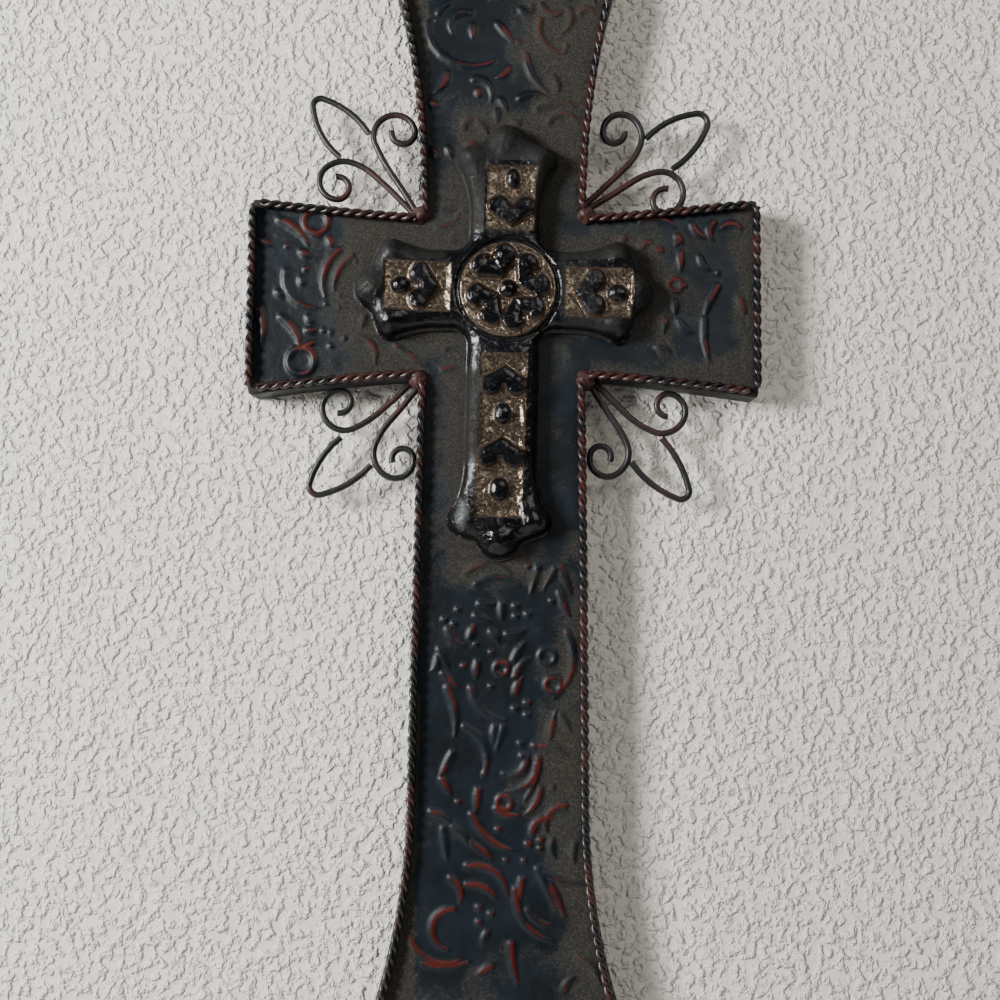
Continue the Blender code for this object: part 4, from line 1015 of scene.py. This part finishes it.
def ceramic_relief(x, z, outline):
    """Height of the ceramic in mm, and the share of bronze floor, of edge and of thin outer lip."""
    deep_in = depth_inside(x, z, outline)
    rise = np.clip((deep_in - LIP_WIDTH) / SHOULDER, 0, 1)
    steep = np.clip((deep_in - LIP_WIDTH) / STEEP_WIDTH, 0, 1)
    lip = LIP_HEIGHT * (0.6 + 0.4 * eased(deep_in / 0.7))
    height = lip + STEEP_RISE * np.sqrt(1 - (1 - steep) ** 2)
    height += (BODY_HEIGHT - LIP_HEIGHT - STEEP_RISE) * rise * (1.6 - 0.6 * rise)
    for boss_x, boss_z in boss_spots():
        away = np.hypot(x - boss_x, z - boss_z) / BOSS_RADIUS
        height += BOSS_HEIGHT * np.exp(-away ** 2) * np.minimum(1, rise * 2)
    ux, uz = turned(x, z, CERAMIC_LEAN)
    ux += CERAMIC_MIDDLE[0] - RELIEF_MIDDLE[0]
    uz += CERAMIC_MIDDLE[1] - RELIEF_MIDDLE[1]
    ux, uz = turned(ux, uz, -RELIEF_LEAN)
    radius = np.hypot(ux, uz)
    bronze = eased((MEDALLION_RADIUS - radius) / 0.9)
    floor = MEDALLION_FLOOR + 1.5 * np.clip(radius / MEDALLION_RADIUS, 0, 1) ** 5
    height += (floor - height) * bronze
    height -= 1.5 * np.exp(-((radius - MEDALLION_RADIUS - 1.1) / 0.9) ** 2)
    for low_x, low_z, high_x, high_z in PANELS:
        inside = np.minimum.reduce([ux - low_x, high_x - ux, uz - low_z, high_z - uz])
        sunk = eased(inside / 1.3 + 0.25)
        height += (PANEL_FLOOR + 0.9 * eased(1 - inside / 4) - height) * sunk
        bronze = np.maximum(bronze, sunk)
    raised = np.zeros(x.shape)
    motifs = [heart(tip, heading, *HEART_SHAPE) for tip, heading in HEARTS]
    motifs += [heart(turned(start, 0.0, turn), turn, length, *PETAL_LOBE) for turn, start, length in PETALS]
    for motif in motifs:
        deep = depth_inside(ux, uz, motif)
        raised = np.maximum(raised, eased(deep / MOTIF_WALL + 0.15))
        height += MOTIF_HEIGHT * (eased(deep / MOTIF_WALL) + 0.12 * np.clip(deep, 0, 4)) * 0.8
    for turn, start, length in PETALS:
        out_x, out_z = turned(1.0, 0.0, turn)
        along, aside = ux * out_x + uz * out_z, uz * out_x - ux * out_z
        crease = np.exp(-(aside / 1.0) ** 2) * eased((along - start) / 3) * (along < start + length)
        height -= CREASE_DEPTH * crease * raised
    for bead_x, bead_z, half_x, half_z in BEAD_SPOTS:
        away = np.hypot((ux - bead_x) / half_x, (uz - bead_z) / half_z)
        height += BEAD_HEIGHT * np.sqrt(np.clip(1 - away ** 2, 0, 1))
        raised = np.maximum(raised, eased((1.12 - away) / 0.25))
    edges = 4 * bronze * (1 - bronze) + 4 * bronze * raised * (1 - raised)
    return height, bronze * (1 - raised), edges, eased(1.7 - deep_in / 0.5)


def ceramic_mesh():
    corner = INNER_RADIUS * (1 - math.sqrt(0.5))
    arms = []
    for out, reach in CERAMIC_REACHES.items():
        half, other = CERAMIC_UPRIGHT_HALF, CERAMIC_SIDE_HALF
        if out[0]:
            half, other = other, half
        arms.append((out, ceramic_rows(reach, half, other)))
    half_x, half_z = (CERAMIC_UPRIGHT_HALF + corner) / 1000, (CERAMIC_SIDE_HALF + corner) / 1000
    bm = cross_surface(arms, half_x, half_z, CERAMIC_CELL)
    places = np.array([(mm(vert.co.x), mm(vert.co.z)) for vert in bm.verts])
    height, bronze, edges, lips = ceramic_relief(places[:, 0], places[:, 1], ceramic_outline(arms))
    layers = [bm.verts.layers.float.new(name) for name in ("bronze", "edges", "lip")]
    for vert, rise, *shares in zip(bm.verts, height, bronze, np.minimum(edges, 1.0), lips):
        wobble = sum(lump * noise.noise(vert.co * fine) for lump, fine in WOBBLE)
        vert.co.y = -(rise + wobble * min(1.0, rise / 4)) / 1000
        for layer, share in zip(layers, shares):
            vert[layer] = share
    walls = bmesh.ops.extrude_edge_only(bm, edges=boundary(bm))["geom"]
    for vert in only(walls, bmesh.types.BMVert):
        vert.co.y = 0.0
    bmesh.ops.contextual_create(bm, geom=boundary(bm))
    bmesh.ops.triangulate(bm, faces=[face for face in bm.faces if len(face.verts) > 4])
    lean = Matrix.Rotation(math.radians(-CERAMIC_LEAN), 4, "Y")
    place = Vector((CERAMIC_MIDDLE[0] / 1000, CERAMIC_BACK, CROSSING_Z + CERAMIC_MIDDLE[1] / 1000))
    bmesh.ops.transform(bm, matrix=Matrix.Translation(place) @ lean, verts=bm.verts)
    return finished_mesh(bm, "glazed_cross")


def soft_spot(x, z, spot):
    middle_x, middle_z, half_width, half_height = spot
    return np.exp(-((x - middle_x) / half_width) ** 2 - ((z - middle_z) / half_height) ** 2)


def dress_ceramic(mesh):
    """Marks where the glaze is dusty and crazed, and where a silvery reflection is painted on it. Places are
    in mm from the crossing.
    """
    points = rows_of(mesh.vertices, "co")
    x, z = mm(points[:, 0]), mm(points[:, 2] - CROSSING_Z)
    upward = np.clip(rows_of(mesh.vertex_normals, "vector")[:, 2], 0, 1)
    left_slope = eased(-x, 4, 8) * eased(-z, 22, 14)
    dust = {
        "top": eased(z, 22, 16) * 0.80,
        "right arm": eased(x, 24, 10) * eased(z, -30, 20) * 0.75,
        "left arm": eased(-x, 24, 10) * eased(z, -10, 14) * 0.60,
        "left of the leg": left_slope * eased(z, -92, 10) * eased(-z, 34, 10) * 0.90,
        "ledges": upward * 0.45,
    }
    cover = np.maximum.reduce(list(dust.values())) + upward * 0.25
    sheltered = np.zeros(x.shape, bool)
    for low_x, low_z, high_x, high_z in PANELS:
        sheltered |= (x > low_x + 3) & (x < high_x + 4) & (z > low_z + 4) & (z < high_z + 4)
    mark(mesh, "dusty", np.where(sheltered, cover * 0.45, cover))
    # Painted reflection: the pale mark puts a silvery grey on the lower left lobe and shoulder of the leg,
    # where the window's light glances off the glaze
    lobe = soft_spot(x, z, LOBE_SPOT)
    mark(mesh, "pale", np.maximum(lobe, soft_spot(x, z, SHOULDER_SPOT) * 0.9))
    crazed = [lobe, left_slope, soft_spot(x, z, NECK_SPOT), soft_spot(x, z, ARM_SPOT)]
    mark(mesh, "crazed", np.maximum.reduce(crazed))


def glaze():
    """Black glaze with a painted bluish sheen, brown where thin, bronze in the sunk parts, with crazing and
    dust, a painted highlight on the lip and a painted silvery reflection.
    """
    material, tree, shader = new_material("dark_glaze")
    # Painted sheen: bluish patches over the black glaze, standing in for soft reflections
    blue = between(tree, clouds(tree, 55.0, 3.0, 0.6), 0.42, 0.66)
    speck = between(tree, clouds(tree, 760.0, 4.0, 0.65), 0.40, 0.66)
    bronze = marked(tree, "bronze")
    body = mixed(tree, bronze, mixed(tree, blue, GLAZE_BLACK, GLAZE_BLUE_SHEEN),
                 mixed(tree, speck, BRONZE_DARK, BRONZE_PALE))
    thin = calc(tree, "MULTIPLY_ADD", clouds(tree, 190.0), 1.5, marked(tree, "edges"))
    body = mixed(tree, between(tree, thin, 1.30, 1.95), body, THIN_GLAZE)
    # Painted highlight: a thin light tan line along the outer lip, where its edge catches the light
    lip = calc(tree, "MULTIPLY_ADD", clouds(tree, 120.0), 1.2, marked(tree, "lip"))
    body = mixed(tree, between(tree, lip, 1.25, 1.85, 0.0, 0.8), body, LIP_HIGHLIGHT_TAN)
    flaky = clouds(tree, 300.0, 5.0, 0.7, 1.5)
    # Painted reflection: silvery grey patches where pale is marked, standing in for glancing light on the
    # glaze
    painted_reflection = calc(tree, "MULTIPLY_ADD", flaky, 1.1, marked(tree, "pale"))
    body = mixed(tree, between(tree, painted_reflection, 1.12, 1.66), body, PAINTED_REFLECTION_GREY)
    drift = calc(tree, "MULTIPLY_ADD", clouds(tree, 60.0, 5.0, 0.62), 0.9, marked(tree, "dusty"))
    film = between(tree, drift, 0.62, 1.30)
    dull = between(tree, clouds(tree, 70.0, 4.0, 0.6), 0.35, 0.65, 0.12, 0.27)
    crazing = calc(tree, "MULTIPLY_ADD", marked(tree, "crazed"), 0.70, 0.32)
    crackle = calc(tree, "MULTIPLY", clouds(tree, 360.0, 4.0, 0.6, 1.2), crazing)
    pools = bumped(tree, clouds(tree, 150.0, 2.0), 0.0012, 0.6)
    plug_all(tree, shader, Base_Color=mixed(tree, calc(tree, "MULTIPLY", film, 0.55), body, GLAZE_FILM),
             Roughness=calc(tree, "MULTIPLY_ADD", film, 0.50, dull),
             Metallic=calc(tree, "MULTIPLY", bronze, 0.75),
             Normal=bumped(tree, crackle, 0.0010, 0.9, pools), Specular_IOR_Level=0.31,
             Coat_Weight=calc(tree, "MULTIPLY_ADD", film, -0.15, 0.16), Coat_Roughness=0.12)
    return material


ceramic = ceramic_mesh()
dress_ceramic(ceramic)
add_piece(ceramic, glaze(), ["ceramic_cross"])

# The hanger is a flat steel strap across the back of the top arm, welded to the rim at both ends, with one
# drilled hole for a nail. It is bare metal, scratched and dull.
STRAP_DARK = (0.13, 0.13, 0.127, 1.0)
STRAP_PALE = (0.27, 0.27, 0.262, 1.0)
STRAP_STAIN = (0.085, 0.055, 0.038, 1.0)
SCRATCH_SCALE = (30.0, 400.0, 900.0)


def strap_steel():
    material, tree, shader = new_material("bare_strap")
    stretched = tree.nodes.new("ShaderNodeMapping")
    place = tree.nodes.new("ShaderNodeTexCoord").outputs["Object"]
    plug_all(tree, stretched, Vector=place, Scale=SCRATCH_SCALE)
    scratches = clouds(tree, 1.0, 4.0, 0.6, place=stretched.outputs[0])
    stain = between(tree, clouds(tree, 90.0, 4.0), 0.50, 0.68)
    steel = mixed(tree, scratches, STRAP_DARK, STRAP_PALE)
    plug_all(tree, shader, Base_Color=mixed(tree, stain, steel, STRAP_STAIN),
             Metallic=between(tree, stain, 0.2, 0.8, 0.9, 0.2),
             Roughness=between(tree, scratches, 0.3, 0.7, 0.34, 0.56),
             Normal=bumped(tree, scratches, 0.00008, 0.6))
    return material


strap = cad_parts["hanger_strap"]
strap.data.materials.clear()
strap.data.materials.append(strap_steel())
